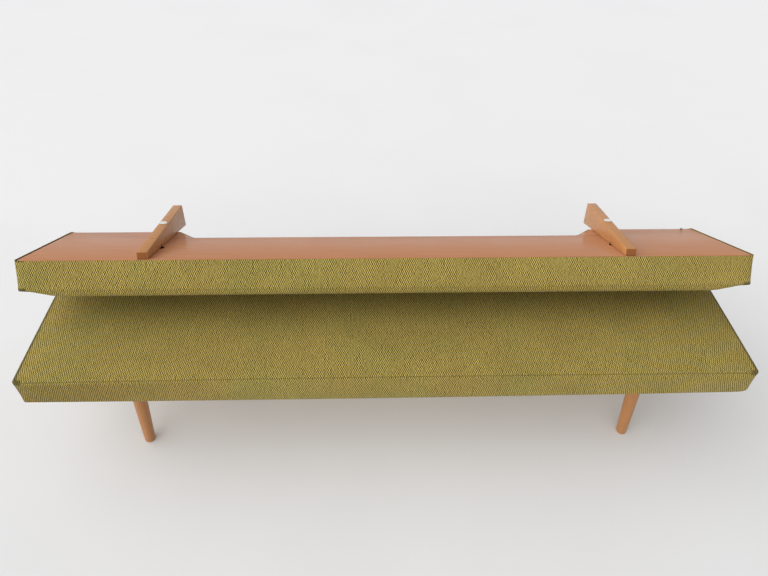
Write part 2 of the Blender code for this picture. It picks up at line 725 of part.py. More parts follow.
# Seat side of a hinge: a plate on the seat's rear face with two ears
def make_seat_hinge(name, middle):
    face = SEAT_DEPTH + FIT_GAP
    plate_top = AXIS_Z + EYE_RADIUS
    plate_bottom = plate_top - HINGE_PLATE_LENGTH
    low = place(middle - HINGE_PLATE_WIDTH / 2, face, plate_bottom)
    high = place(middle + HINGE_PLATE_WIDTH / 2, face + HINGE_PLATE_THICKNESS, plate_top)
    bracket = box(name, low, high, "steel")
    root = face + HINGE_PLATE_THICKNESS / 2
    ear = [(root, plate_bottom + HINGE_SHOULDER), (root, plate_top - HINGE_STEP)]
    ear += eye_arc(AXIS_BACK, AXIS_Z, 85, -50)
    for side in (-1, 1):
        centre = middle + side * hinge_ear_offset()
        x_low = centre - HINGE_EAR_THICKNESS / 2
        tool = pulled(name + "_ear_" + str(side), ear, x_low, x_low + HINGE_EAR_THICKNESS, place, None)
        combine(bracket, tool, "UNION")
    axis_point = place(middle, AXIS_BACK, AXIS_Z)
    bore(bracket, PIN_RADIUS + FIT_GAP, axis_point, Vector((1, 0, 0)), -KNUCKLE_WIDTH, KNUCKLE_WIDTH)


# Backrest side of a hinge: a plate under the padding's lower edge with one knuckle
def make_back_hinge(name, middle):
    face = BACK_DEPTH + FIT_GAP
    plate_out = -(BACK_BORDER - HINGE_PLATE_LENGTH) / 2
    plate_in = plate_out - HINGE_PLATE_LENGTH
    low = on_back(middle - HINGE_PLATE_WIDTH / 2, face, plate_in)
    high = on_back(middle + HINGE_PLATE_WIDTH / 2, face + HINGE_PLATE_THICKNESS, plate_out)
    bracket = box(name, low, high, "steel", backrest_axis)
    root = face + HINGE_PLATE_THICKNESS / 2
    knuckle = [(root, plate_out - HINGE_SHOULDER), (root, plate_in + HINGE_STEP)]
    knuckle += eye_arc(AXIS_DOWN, AXIS_OUT, 175, 360)
    x_low = middle - KNUCKLE_WIDTH / 2
    tool = pulled(name + "_knuckle", knuckle, x_low, x_low + KNUCKLE_WIDTH, on_back, None, backrest_axis)
    combine(bracket, tool, "UNION")
    axis_point = on_back(middle, AXIS_DOWN, AXIS_OUT)
    bore(bracket, PIN_RADIUS + FIT_GAP, axis_point, Vector((1, 0, 0)), -KNUCKLE_WIDTH, KNUCKLE_WIDTH)


def make_hinges():
    grip = hinge_ear_offset() + HINGE_EAR_THICKNESS / 2 + FIT_GAP
    tip = grip + PIN_HEAD_THICKNESS
    profile = [
        (PIN_HEAD_RADIUS, -tip),
        (PIN_HEAD_RADIUS, -grip),
        (PIN_RADIUS, -grip),
        (PIN_RADIUS, grip),
        (PIN_HEAD_RADIUS, grip),
        (PIN_HEAD_RADIUS, tip),
    ]
    for side, name in ((-1, "left"), (1, "right")):
        middle = side * HINGE_CENTRE
        make_seat_hinge(name + "_seat_hinge", middle)
        make_back_hinge(name + "_back_hinge", middle)
        axis_point = place(middle, AXIS_BACK, AXIS_Z)
        turned(name + "_hinge_pin", profile, axis_point, Vector((1, 0, 0)), "steel")


make_seat_padding()
make_seat_frame()
make_bearers()
make_legs()
make_back_padding()
make_panel()
make_back_frame()
make_arms()
make_arm_bolts()
make_hinges()
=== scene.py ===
import json
import math
import bmesh
import bpy
from mathutils import Matrix, Vector
from mathutils.kdtree import KDTree


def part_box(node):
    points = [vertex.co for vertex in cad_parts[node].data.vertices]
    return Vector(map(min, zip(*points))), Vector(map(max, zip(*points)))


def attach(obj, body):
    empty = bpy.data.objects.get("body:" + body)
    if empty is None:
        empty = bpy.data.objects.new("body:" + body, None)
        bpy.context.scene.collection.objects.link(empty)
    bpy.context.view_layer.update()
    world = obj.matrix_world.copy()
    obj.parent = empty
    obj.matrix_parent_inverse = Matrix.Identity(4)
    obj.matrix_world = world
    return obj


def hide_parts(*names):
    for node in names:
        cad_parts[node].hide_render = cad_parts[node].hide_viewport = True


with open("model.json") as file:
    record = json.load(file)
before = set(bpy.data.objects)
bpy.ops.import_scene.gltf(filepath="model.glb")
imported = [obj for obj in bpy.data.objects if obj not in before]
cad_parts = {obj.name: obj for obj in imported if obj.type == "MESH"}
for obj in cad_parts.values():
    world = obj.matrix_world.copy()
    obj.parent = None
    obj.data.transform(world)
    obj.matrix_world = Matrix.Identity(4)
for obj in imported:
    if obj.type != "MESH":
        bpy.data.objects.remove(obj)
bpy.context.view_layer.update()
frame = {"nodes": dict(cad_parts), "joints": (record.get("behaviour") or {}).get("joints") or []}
scene = bpy.context.scene
print("frame loaded,", len(frame["nodes"]), "nodes")

tiny = 1e-4  # points closer than this count as one
mergeGap = 1e-6
smoothing = {"padded": 60.0, "plain": 40.0, "crisp": 30.0}  # edges sharper than this stay sharp
sharpEdge = math.radians(50)  # edges sharper than this are rounded
sides = (("left", -1), ("right", 1))
fourCorners = ((-1, -1), (1, -1), (1, 1), (-1, 1))


# selecting, editing and placing

moveBy = Matrix.Translation


def turnBy(degrees, axis):
    return Matrix.Rotation(math.radians(degrees), 4, axis)


def pickObject(piece):
    if bpy.context.object and bpy.context.object.mode == "EDIT":
        bpy.ops.object.mode_set(mode="OBJECT")
    bpy.ops.object.select_all(action="DESELECT")
    if piece:
        piece.select_set(True)
        bpy.context.view_layer.objects.active = piece


def editPiece(piece):
    pickObject(piece)
    bpy.ops.object.mode_set(mode="EDIT")
    bpy.ops.mesh.select_mode(type="VERT")


def pick(kind, test):  # kind is verts, edges or faces of the piece in edit mode
    bpy.ops.mesh.select_all(action="DESELECT")
    bpy.ops.mesh.select_mode(type={"verts": "VERT", "edges": "EDGE", "faces": "FACE"}[kind])
    shape = bmesh.from_edit_mesh(bpy.context.object.data)
    for item in getattr(shape, kind):
        item.select_set(bool(test(item)))
    shape.select_flush_mode()
    bmesh.update_edit_mesh(bpy.context.object.data)


def nameNew(name):
    piece = bpy.context.object
    piece.name = name
    piece.data.name = name
    return piece


def discard(piece):
    bpy.data.objects.remove(piece, do_unlink=True)


def copyPiece(piece, name):
    pickObject(piece)
    bpy.ops.object.duplicate(linked=False)
    return nameNew(name)


def applyModifier(piece, kind, **settings):
    step = piece.modifiers.new(kind.lower(), kind)
    for key, value in settings.items():
        setattr(step, key, value)
    pickObject(piece)
    bpy.ops.object.modifier_apply(modifier=step.name)


def roundEdges(piece, width, segments):
    applyModifier(piece, "BEVEL", width=width, segments=segments, limit_method="ANGLE", angle_limit=sharpEdge)


def cutOut(piece, cutter):
    applyModifier(piece, "BOOLEAN", object=cutter, operation="DIFFERENCE", solver="EXACT")
    discard(cutter)


def pickAll():
    bpy.ops.mesh.select_all(action="SELECT")


def pullBy(move):  # all that is drawn so far
    pickAll()
    bpy.ops.mesh.extrude_region_move(TRANSFORM_OT_translate={"value": move})


def facesOut():
    pickAll()
    bpy.ops.mesh.normals_make_consistent(inside=False)


def settle(piece, kind, place=None):  # the place goes into the mesh
    pickObject(piece)
    bpy.ops.object.transform_apply(location=True, rotation=True, scale=True)
    if place:
        piece.data.transform(place)
    bpy.ops.object.shade_smooth_by_angle(angle=math.radians(smoothing[kind]))
    return piece


def drawLine(name, points):  # each point is drawn out of the one before
    pickObject(None)
    bpy.ops.mesh.primitive_plane_add(size=0.01)
    piece = nameNew(name)
    editPiece(piece)
    pickAll()
    bpy.ops.mesh.merge(type="CENTER")
    bpy.ops.transform.translate(value=points[0])
    for before, after in zip(points, points[1:]):
        step = Vector(after) - Vector(before)
        bpy.ops.mesh.extrude_vertices_move(TRANSFORM_OT_translate={"value": step})
    pickAll()
    return piece


def drawOutline(name, points):  # a flat face
    piece = drawLine(name, points)
    bpy.ops.mesh.edge_face_add()
    return piece


def turnProfile(name, profile, steps):  # (radius, height) from the bottom middle to the top middle
    piece = drawLine(name, [(radius, 0.0, height) for radius, height in profile])
    bpy.ops.mesh.spin(steps=steps, angle=2 * math.pi, center=(0, 0, 0), axis=(0, 0, 1))
    pickAll()
    bpy.ops.mesh.remove_doubles(threshold=mergeGap)
    facesOut()
    pickObject(piece)
    return piece


def cutAcross(axis, places):
    normal = [0.0, 0.0, 0.0]
    normal[axis] = 1.0
    for place in places:
        pickAll()
        bpy.ops.mesh.bisect(plane_co=[place * part for part in normal], plane_no=normal)


def evenCuts(low, high, cell, fine):  # even cells, with narrow ones beside both ends
    inner = high - low - 2 * max(fine)
    count = round(inner / cell)
    cuts = [low + max(fine) + inner * i / count for i in range(1, count)]
    return [low + f for f in fine] + cuts + [high - f for f in fine]


# camera, fitted to the corners of the seat and the panel and to the feet

view = {
    "spot": (-0.0761, -1.3627, 1.7070),
    "pitch": 43.299,
    "yaw": 2.602,
    "roll": -1.263,
    "focalPixels": 619.9,
    "imageWidth": 768,
    "sensor": 36.0,
}


def setCamera():
    pitch, yaw, roll = (math.radians(view[key]) for key in ("pitch", "yaw", "roll"))
    ahead = Vector((math.sin(yaw) * math.cos(pitch), math.cos(yaw) * math.cos(pitch), -math.sin(pitch)))
    level = Vector((math.cos(yaw), -math.sin(yaw), 0.0))
    below = ahead.cross(level)
    right = math.cos(roll) * level + math.sin(roll) * below
    down = -math.sin(roll) * level + math.cos(roll) * below
    lens = bpy.data.cameras.new("camera")
    lens.sensor_width = view["sensor"]
    lens.lens = view["focalPixels"] * view["sensor"] / view["imageWidth"]
    camera = bpy.data.objects.new("camera", lens)
    turn = Matrix((right, -down, -ahead)).transposed().to_4x4()
    camera.matrix_world = moveBy(view["spot"]) @ turn
    scene.collection.objects.link(camera)
    scene.camera = camera


setCamera()
print("camera set")


# the folded panel's frame: x along the sofa, y down the panel, z out of its face

fold = {
    "tilt": 25.5,
    "axisDown": 0.3567,
    "axisOut": -0.094,
}
hingeSpot = Vector(frame["joints"][0]["pos_m"])
panelFrame = (
    moveBy(hingeSpot)
    @ turnBy(-fold["tilt"], "X")
    @ moveBy((0.0, -fold["axisDown"], -fold["axisOut"]))
)
faceDown = panelFrame @ turnBy(180, "Y")  # for what is modelled with its padded face up


# padded covers: a tray sewn from a face and a border, swollen by its filling

sewing = {
    "cell": 0.016,
    "rows": 6,
    "seamDepth": 0.0012,
    "seamRoll": 0.0004,
    "rollReach": 0.0068,
    "clothThickness": 0.0022,
    "foamGap": 0.0008,
    "foamStrip": 0.04,
    "stripsEachWay": 24,
    "hingeGap": 0.0003,
    "markSteps": 8,
    "markReach": 0.2,
}
filling = {
    "quality": 6,
    "frames": 20,
    "mass": 0.02,
    "pressure": 4.0,
    "stiffness": 15.0,
    "shear": 5.0,
    "bending": 0.5,
    "firmness": 1.7,
}


def shiftCorners(corners, inset=0.0):  # corners are (x, y, radius), anticlockwise
    spots = [Vector(corner[:2]) for corner in corners]
    ways = [(b - a).normalized() for a, b in zip(spots, spots[1:] + spots[:1])]
    shifted = []
    for i, corner in enumerate(corners):
        before, after = ways[i - 1], ways[i]
        inward = Vector((-before.y, before.x)) + Vector((-after.y, after.x))
        spot = spots[i] + inward * inset / (1 + before.dot(after))
        reach = corner[2] * math.tan(before.angle(after) / 2)
        shifted.append((spot.x, spot.y, reach))
    return shifted


def drawRounded(name, corners, steps):
    piece = drawOutline(name, [(x, y, 0.0) for x, y, reach in corners])
    for x, y, reach in corners:
        spot = Vector((x, y, 0.0))
        pick("verts", lambda v: (v.co - spot).length < tiny)
        bpy.ops.mesh.bevel(offset=reach, segments=steps, affect="VERTICES")
    return piece


def sewTray(name, corners, sew):
    drawn = shiftCorners(corners)
    piece = drawRounded(name, drawn, sew["cornerSteps"])
    pullBy((0.0, 0.0, sew["border"]))
    pick("faces", lambda face: all(v.co.z < tiny for v in face.verts))
    bpy.ops.mesh.delete(type="FACE")
    facesOut()
    for axis, extra in ((0, []), (1, sew["extraCuts"])):
        places = [corner[axis] for corner in drawn]
        cutAcross(axis, evenCuts(min(places), max(places), sewing["cell"], sew["fine"]) + extra)
    rows = [sew["border"] * i / sewing["rows"] for i in range(1, sewing["rows"])]
    cutAcross(2, rows + [sew["border"] - f for f in sew["fine"]])
    pickObject(piece)
    return piece


def isFace(polygon):  # the border stands upright
    return polygon.normal.z > 0.7


def outlineKey(spot):
    return round(spot.x, 4), round(spot.y, 4)


def weaveMap(piece):  # in metres: flat on the face, around the outline on the border
    mesh = piece.data
    shape = bmesh.new()
    shape.from_mesh(mesh)
    rim = {v: None for v in shape.verts if v.is_boundary}
    here = min(rim, key=lambda v: (-v.co.y, v.co.x))
    along, before = 0.0, None
    while rim[here] is None:
        rim[here] = along
        before = [e for e in here.link_edges if e.is_boundary and e is not before][0]
        along += before.calc_length()
        here = before.other_vert(here)
    around = {outlineKey(v.co): at for v, at in rim.items()}
    shape.free()
    layer = mesh.uv_layers.new(name="weave")
    for face in mesh.polygons:
        spots = [mesh.vertices[i].co for i in face.vertices]
        if isFace(face):
            places = [(s.x, s.y) for s in spots]
        else:
            turns = [around[outlineKey(s)] for s in spots]
            if max(turns) - min(turns) > along / 2:
                turns = [t + along if t < along / 2 else t for t in turns]
            places = [(t, s.z) for t, s in zip(turns, spots)]
        for loop, place in zip(face.loop_indices, places):
            layer.data[loop].uv = place


def groupEdges(piece):  # the seam, and all that is sewn down
    mesh = piece.data
    kinds = [set() for v in mesh.vertices]
    for face in mesh.polygons:
        for i in face.vertices:
            kinds[i].add(isFace(face))
    seam = [i for i, kind in enumerate(kinds) if len(kind) == 2]
    hem = [v.index for v in mesh.vertices if v.co.z < tiny]
    piece.vertex_groups.new(name="seam").add(seam, 1.0, "REPLACE")
    piece.vertex_groups.new(name="sewn").add(seam + hem, 1.0, "REPLACE")


def seamPoints(piece):
    group = piece.vertex_groups["seam"].index
    points = set()
    for vert in piece.data.vertices:
        if any(g.group == group and g.weight > 0.9 for g in vert.groups):
            points.add(vert.index)
    return points


def bow(share):
    return max(0.0, 4 * share * (1 - share))


def smooth(share):
    share = min(max(share, 0.0), 1.0)
    return share * share * (3 - 2 * share)


def swell(piece, crown, bulge):  # cloth under pressure, held along its seam and hem
    mesh = piece.data
    start = [v.co.copy() for v in mesh.vertices]
    top = max(spot.z for spot in start) - tiny
    step = piece.modifiers.new("filling", "CLOTH")
    settings = step.settings
    settings.quality = filling["quality"]
    settings.mass = filling["mass"]
    settings.tension_stiffness = filling["stiffness"]
    settings.compression_stiffness = filling["stiffness"]
    settings.shear_stiffness = filling["shear"]
    settings.bending_stiffness = filling["bending"]
    settings.use_pressure = True
    settings.uniform_pressure_force = filling["pressure"]
    settings.vertex_group_mass = "sewn"
    settings.effector_weights.gravity = 0.0
    step.collision_settings.use_collision = False
    for number in range(1, filling["frames"] + 1):
        scene.frame_set(number)
    pickObject(piece)
    bpy.ops.object.modifier_apply(modifier=step.name)
    scene.frame_set(1)
    moves = [v.co - spot for v, spot in zip(mesh.vertices, start)]
    onFace = [spot.z > top for spot in start]
    firm = filling["firmness"]
    for part, label, reach in ((True, "face", crown), (False, "border", bulge)):
        most = max(m.length for m, f in zip(moves, onFace) if f == part)
        print(piece.name, label, "swelled", round(most * 1000, 1), "mm, held to", reach * 1000)
        for vert, spot, move, face in zip(mesh.vertices, start, moves, onFace):
            if face == part:
                share = math.tanh(firm * move.length / most) / math.tanh(firm)
                vert.co = spot + move.normalized() * reach * share


def buildTree(points):
    tree = KDTree(len(points))
    for i, point in enumerate(points):
        tree.insert(point, i)
    tree.balance()
    return tree


def pressSeam(piece):  # a stitched groove with a soft roll on each side
    verts, seam = piece.data.vertices, seamPoints(piece)
    normals = [v.normal.copy() for v in verts]
    tree = buildTree([verts[i].co.copy() for i in sorted(seam)])
    for vert, normal in zip(verts, normals):
        if vert.index in seam:
            vert.co -= normal * sewing["seamDepth"]
        elif tree.find(vert.co)[2] < sewing["rollReach"]:
            vert.co += normal * sewing["seamRoll"]


def markGaps(mesh, name, edges):  # each point's distance from a line of edges
    steps = sewing["markSteps"]
    tree = buildTree([a.lerp(b, k / steps) for a, b in edges for k in range(steps)])
    layer = mesh.attributes.new(name, "FLOAT", "POINT")
    for vert in mesh.vertices:
        layer.data[vert.index].value = min(tree.find(vert.co)[2], sewing["markReach"])


def seamAndHem(piece):  # where the stitch line, the puckers and the worn edges are
    seam = seamPoints(piece)
    shape = bmesh.new()
    shape.from_mesh(piece.data)
    sewn = [e for e in shape.edges if e.verts[0].index in seam and e.verts[1].index in seam]
    hem = [e for e in shape.edges if e.is_boundary]
    for name, edges in (("seamGap", sewn), ("hemGap", hem)):
        markGaps(piece.data, name, [(e.verts[0].co.copy(), e.verts[1].co.copy()) for e in edges])
    shape.free()


def finishCover(piece):
    pressSeam(piece)
    applyModifier(piece, "SUBSURF", levels=1, render_levels=1)
    seamAndHem(piece)
    foam = copyPiece(piece, piece.name.replace("Cover", "Foam"))
    applyModifier(piece, "SOLIDIFY", thickness=sewing["clothThickness"], offset=-1.0)
    return foam


def finishFoam(foam, bottom):  # the same form inside the cloth, cut flat where it rests
    inside = -sewing["clothThickness"] - sewing["foamGap"]
    applyModifier(foam, "DISPLACE", strength=inside, mid_level=0.0)
    editPiece(foam)
    pickAll()
    bpy.ops.mesh.bisect(plane_co=(0, 0, bottom), plane_no=(0, 0, 1), clear_inner=True)
    pick("edges", lambda edge: edge.is_boundary)
    bpy.ops.mesh.edge_face_add()
    facesOut()
    each = sewing["stripsEachWay"]
    cutAcross(0, [sewing["foamStrip"] * i for i in range(-each, each + 1)])  # so that no face spans a notch
    pickObject(foam)


def sewPadding(name, corners, sew, shapeTray, fillTray, bottom, place):
    cover = sewTray(name + "Cover", corners, sew)
    weaveMap(cover)
    groupEdges(cover)
    shapeTray(cover)
    swell(cover, sew["crown"], sew["bulge"])
    if fillTray:
        fillTray(cover)
    rear = max(corner[1] for corner in corners) - sewing["hingeGap"]
    for vert in cover.data.vertices:  # flat where the hinges sit
        vert.co.y = min(vert.co.y, rear)
    foam = finishCover(cover)
    finishFoam(foam, bottom)
    for piece in (cover, foam):
        settle(piece, "padded", place)
    print(name, "padding sewn,", len(cover.data.polygons), "faces")
    return cover, foam


seat = {
    "border": 0.082,
    "cornerRadius": 0.011,
    "cornerSteps": 5,
    "fine": (0.0028, 0.0065),
    "extraCuts": [],
    "drawIn": 0.004,
    "rearTuck": 0.006,
    "tuckFrom": 0.9,
    "endFull": 0.001,
    "cornerLift": 0.012,
    "cornerReach": 0.03,
    "hemSag": 0.010,
    "sagUpTo": 0.5,
    "frontDepth": 0.02,
    "crown": 0.012,
    "bulge": 0.0042,
}


def shapeSeat(piece):
    low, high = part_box("seat_cover")
    for vert in piece.data.vertices:
        x, y, z = vert.co
        share = z / seat["border"]
        rearward = (y - low.y) / (high.y - low.y)
        tucked = max(0.0, rearward - seat["tuckFrom"]) / (1 - seat["tuckFrom"])
        vert.co.y += seat["drawIn"] * bow((x - low.x) / (high.x - low.x)) * (1 - rearward)
        vert.co.y -= seat["rearTuck"] * tucked * share
        vert.co.x += seat["endFull"] * bow(rearward) * x / high.x
        nearCorner = 1 - math.hypot(high.x - x, y - low.y) / seat["cornerReach"]
        if nearCorner > 0:  # the right front corner is worn round below
            vert.co.z += seat["cornerLift"] * nearCorner ** 2 * (1 - share) ** 3
        if rearward < seat["frontDepth"]:  # the front hem hangs lowest in its middle
            lowShare = max(0.0, 1 - share / seat["sagUpTo"])
            vert.co.z -= seat["hemSag"] * (1 - (x / high.x) ** 2) * lowShare


def makeSeatPadding():
    low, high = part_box("seat_cover")
    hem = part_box("seat_front_rail")[0].z
    spots = ((low.x, low.y), (high.x, low.y), (high.x, high.y), (low.x, high.y))
    corners = [(x, y, seat["cornerRadius"]) for x, y in spots]
    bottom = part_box("seat_foam")[0].z - hem
    return sewPadding("seat", corners, seat, shapeSeat, None, bottom, moveBy((0, 0, hem)))


back = {
    "depth": 0.344,
    "halfLength": 1.0,
    "notchEdge": 0.260,
    "notchNear": 0.595,
    "notchFar": 0.658,
    "cornerRadius": 0.007,
    "notchInner": 0.020,
    "notchOuter": 0.006,
    "cornerSteps": 4,
    "border": 0.082,
    "fine": (0.0028, 0.0065, 0.011, 0.016),
    "extraCuts": [0.2572, 0.2535],
    "rimDrop": 0.001,
    "drawIn": 0.003,
    "drawInFrom": 0.8,
    "overhang": 0.012,
    "endFlare": (0.002, 0.0015),
    "flareFrom": 0.985,
    "flareOver": 0.014,
    "rimRise": 0.0022,
    "shoulder": 0.016,
    "shoulderReach": 0.014,
    "shoulderCurve": 2.2,
    "shoulderFade": (0.05, 0.15),
    "shoulderEnds": 0.11,
    "rollStep": 0.001,
    "rollSteps": 50,
    "foamFrom": 0.0356,
    "crown": 0.014,
    "bulge": 0.0034,
}


def backCorners():
    half, depth = back["halfLength"], back["depth"]
    r, inner, outer = back["cornerRadius"], back["notchInner"], back["notchOuter"]
    near, far, edge = back["notchNear"], back["notchFar"], back["notchEdge"]
    return [(-half, 0.0, r), (half, 0.0, r), (half, depth, r), (far, depth, outer), (near, edge, inner),
            (-near, edge, inner), (-far, depth, outer), (-half, depth, r)]


def topSeam(x):  # how far the seam along the top edge lies from the panel's own edge
    half = back["halfLength"]
    return back["drawIn"] * bow((x + half) / (2 * half)) - back["overhang"]


def shapeBack(piece):
    half, edge, near = back["halfLength"], back["notchEdge"], back["notchNear"]
    for vert in piece.data.vertices:
        x, y, z = vert.co
        share = z / back["border"]
        topward = max(0.0, 1 - y / edge)
        endward = max(0.0, abs(x) / half - back["drawInFrom"]) / (1 - back["drawInFrom"])
        vert.co.y += share * topward * topSeam(x)
        vert.co.x -= math.copysign(share * endward * back["drawIn"] * bow(y / back["depth"]), x)
        if abs(x) < near and y <= edge:
            vert.co.y -= share * (1 - topward) * back["drawIn"] * bow((x + near) / (2 * near))
        vert.co.z = max(z, back["rimDrop"])
        # the rim is loose at both ends
        atEnd = smooth((abs(x) / half - back["flareFrom"]) / back["flareOver"])
        vert.co.x += math.copysign(back["endFlare"][x < 0] * atEnd * (1 - share) ** 2, x)
        vert.co.z -= back["rimRise"] * atEnd * max(0.0, 1 - 4 * share)


def shoulderRise(gap):
    steep = 1 - max(0.0, 1 - gap / back["shoulderReach"]) ** back["shoulderCurve"]
    start, over = back["shoulderFade"]
    return back["shoulder"] * steep * (1 - smooth((gap - start) / over))


def fillShoulder(piece):  # along the top edge the pad rolls out past its seam
    mesh, step, count = piece.data, back["rollStep"], back["rollSteps"]
    extra = [0.0] * (count + 1)  # how much more cloth lies over the roll, from far in out to the seam
    for i in reversed(range(count)):
        rise = shoulderRise((i + 1) * step) - shoulderRise(i * step)
        extra[i] = extra[i + 1] + math.hypot(step, rise) - step
    slide = {}
    for vert in mesh.vertices:
        x, y, z = vert.co
        if z > back["border"] - tiny:
            gap = max(0.0, y - topSeam(x))
            share = smooth((back["halfLength"] - abs(x)) / back["shoulderEnds"])
            vert.co.z += shoulderRise(gap) * share
            slide[vert.index] = extra[min(int(gap / step), count)] * share
    layer = mesh.uv_layers["weave"]
    for face in mesh.polygons:
        if all(i in slide for i in face.vertices):
            for loop, i in zip(face.loop_indices, face.vertices):
                layer.data[loop].uv.y -= slide[i]


seatCover, seatFoam = makeSeatPadding()
backCover, backFoam = sewPadding("backrest", backCorners(), back, shapeBack, fillShoulder,
                                 back["foamFrom"], faceDown)


# panel, arms and bolts

# marks end grain for darker wood, and on the panel the bores' insides for a painted shade
def markEndGrainAndBoreShade(piece, test):
    layer = piece.data.attributes.new("endGrainAndBoreShade", "FLOAT", "FACE")
    for face in piece.data.polygons:
        layer.data[face.index].value = 1.0 if test(face) else 0.0


panel = {
    "inset": 0.0034,
    "thickness": 0.010,
    "edgeRound": 0.0016,
    "edgeSteps": 3,
    "cornerSteps": 8,
    "boreAt": (0.659, 0.133),
    "boreRadius": 0.013,
    "boreDepth": 0.0075,
    "boreSteps": 48,
}


def inBore(face):
    across, down = panel["boreAt"]
    off = math.hypot(abs(face.center.x) - across, face.center.y - down)
    return off < panel["boreRadius"] + tiny and face.center.z < -tiny


def makePanel():
    piece = drawRounded("backPanel", shiftCorners(backCorners(), panel["inset"]), panel["cornerSteps"])
    pullBy((0, 0, -panel["thickness"]))
    facesOut()
    roundEdges(piece, panel["edgeRound"], panel["edgeSteps"])
    across, down = panel["boreAt"]
    for side, sign in sides:  # a bored recess under each arm, seen beside it, its inside coloured nearly black as painted shade
        bpy.ops.mesh.primitive_cylinder_add(vertices=panel["boreSteps"], radius=panel["boreRadius"],
                                            depth=2 * panel["boreDepth"], location=(sign * across, down, 0.0))
        cutOut(piece, nameNew("drill"))
    # the bores' insides get a painted shade
    markEndGrainAndBoreShade(piece, inBore)
    return settle(piece, "crisp", panelFrame)


arm = {
    "centre": 0.6597,
    "toeIn": 3.4,
    "turned": {"left": -1.4, "right": 1.0},
    "width": 0.029,
    "tip": 0.003,
    "lift": 0.0003,
    "frontHeight": 0.020,
    "footDown": 0.442,
    "heelDown": 0.4134,
    "heelHeight": 0.0727,
    "hollowAt": 0.141,
    "hollowRadius": 0.006,
    "hollowSteps": 8,
    "edgeRound": 0.0024,
    "edgeSteps": 4,
    "boltAt": 0.232,
}
armSlope = math.atan2(arm["heelHeight"] - arm["frontHeight"], arm["heelDown"] - arm["tip"])


def armHeight(down):
    return arm["lift"] + arm["frontHeight"] + (down - arm["tip"]) * math.tan(armSlope)


def armOutline():
    tip, lift, reach, steps = arm["tip"], arm["lift"], arm["hollowRadius"], arm["hollowSteps"]
    points = [(tip, lift)]
    for step in range(steps + 1):
        angle = math.pi * (1 - step / steps)
        points.append((arm["hollowAt"] + reach * math.cos(angle), lift + reach * math.sin(angle)))
    heel = (arm["heelDown"], lift + arm["heelHeight"])
    return points + [(arm["footDown"], lift), heel, (tip, armHeight(tip))]


def makeArm():
    low = -arm["width"] / 2
    piece = drawOutline("armPattern", [(low, down, out) for down, out in armOutline()])
    pullBy((arm["width"], 0, 0))
    facesOut()
    roundEdges(piece, arm["edgeRound"], arm["edgeSteps"])
    markEndGrainAndBoreShade(piece, lambda face: abs(face.normal.y) > 0.8 and abs(face.normal.x) < 0.5)  # its two ends
    return piece


bolt = {
    "headRadius": 0.011,
    "rim": 0.0030,
    "dome": 0.0030,
    "domeSteps": 8,
    "edge": 0.0004,
    "lip": 0.0003,
    "shankRadius": 0.004,
    "shankLength": 0.080,
    "tipShare": 0.8,
    "tipLength": 0.001,
    "steps": 64,
}


def makeBolt():
    r, rim, dome, edge = bolt["headRadius"], bolt["rim"], bolt["dome"], bolt["edge"]
    shank, end = bolt["shankRadius"], -bolt["shankLength"]
    profile = [(0.0, end), (shank * bolt["tipShare"], end), (shank, end + bolt["tipLength"]), (shank, 0.0),
               (r - edge, 0.0), (r, edge), (r, rim - edge)]
    for step in range(bolt["domeSteps"]):
        angle = math.pi / 2 * step / bolt["domeSteps"]
        profile.append(((r - bolt["lip"]) * math.cos(angle), rim + dome * math.sin(angle)))
    piece = turnProfile("boltPattern", profile + [(0.0, rim + dome)], bolt["steps"])
    axis = Vector((0.0, -math.sin(armSlope), math.cos(armSlope)))
    turn = axis.to_track_quat("Z", "Y").to_matrix().to_4x4()
    return settle(piece, "crisp", moveBy((0, arm["boltAt"], armHeight(arm["boltAt"]))) @ turn)


backPanel = makePanel()
armPattern = makeArm()
boltPattern = makeBolt()
boltSpot = moveBy((0, arm["boltAt"], 0))
arms, bolts = {}, {}
for side, sign in sides:
    toeIn = turnBy(-sign * arm["toeIn"], "Z")
    turned = turnBy(-sign * arm["turned"][side], "Z")  # each has shifted on its bolt
    place = panelFrame @ moveBy((sign * arm["centre"], 0, 0)) @ toeIn
    place = place @ boltSpot @ turned @ boltSpot.inverted()
    arms[side] = settle(copyPiece(armPattern, side + "Arm"), "crisp", place)
    bolts[side] = settle(copyPiece(boltPattern, side + "ArmBolt"), "crisp", place)
discard(armPattern)
discard(boltPattern)

tack = {
    "spot": (0.9634, 0.3375),
    "radius": 0.0040,
    "height": 0.0030,
    "pinShare": 0.3,
    "pinLength": 0.004,
    "rim": (0.85, 0.6),
    "steps": 24,
}


def makeTack():  # one lost tack in the panel's rear edge
    r, high = tack["radius"], tack["height"]
    pin, end = r * tack["pinShare"], -tack["pinLength"]
    rimOut, rimUp = tack["rim"]
    profile = [(0.0, end), (pin, end), (pin, 0.0), (r, 0.0), (r * rimOut, high * rimUp), (0.0, high)]
    piece = turnProfile("panelTack", profile, tack["steps"])
    return settle(piece, "plain", panelFrame @ moveBy((*tack["spot"], 0.0)))


panelTack = makeTack()
print("panel, arms and bolts made")


# legs, webbing and screws

leg = {
    "topRadius": 0.0215,
    "footRadius": 0.016,
    "swell": 0.0006,
    "height": 0.277,
    "footRound": 0.0035,
    "footSteps": 4,
    "topRound": 0.001,
    "topSpot": (0.7405, 0.217667),
    "footSpot": (0.756, 0.2385),
    "rows": 12,
    "steps": 72,
}


def makeLeg():
    foot, top, high = leg["footRadius"], leg["topRadius"], leg["height"]
    turn, trim = leg["footRound"], leg["topRound"]
    profile = [(0.0, 0.0), (foot - turn, 0.0)]
    for step in range(1, leg["footSteps"] + 1):
        angle = math.pi / 2 * step / leg["footSteps"]
        profile.append((foot - turn + turn * math.sin(angle), turn * (1 - math.cos(angle))))
    for row in range(1, leg["rows"]):
        share = row / leg["rows"]
        radius = foot + (top - foot) * share + leg["swell"] * bow(share)
        profile.append((radius, turn + (high - turn - trim) * share))
    profile += [(top, high - trim), (top - trim, high), (0.0, high)]
    return turnProfile("legPattern", profile, leg["steps"])


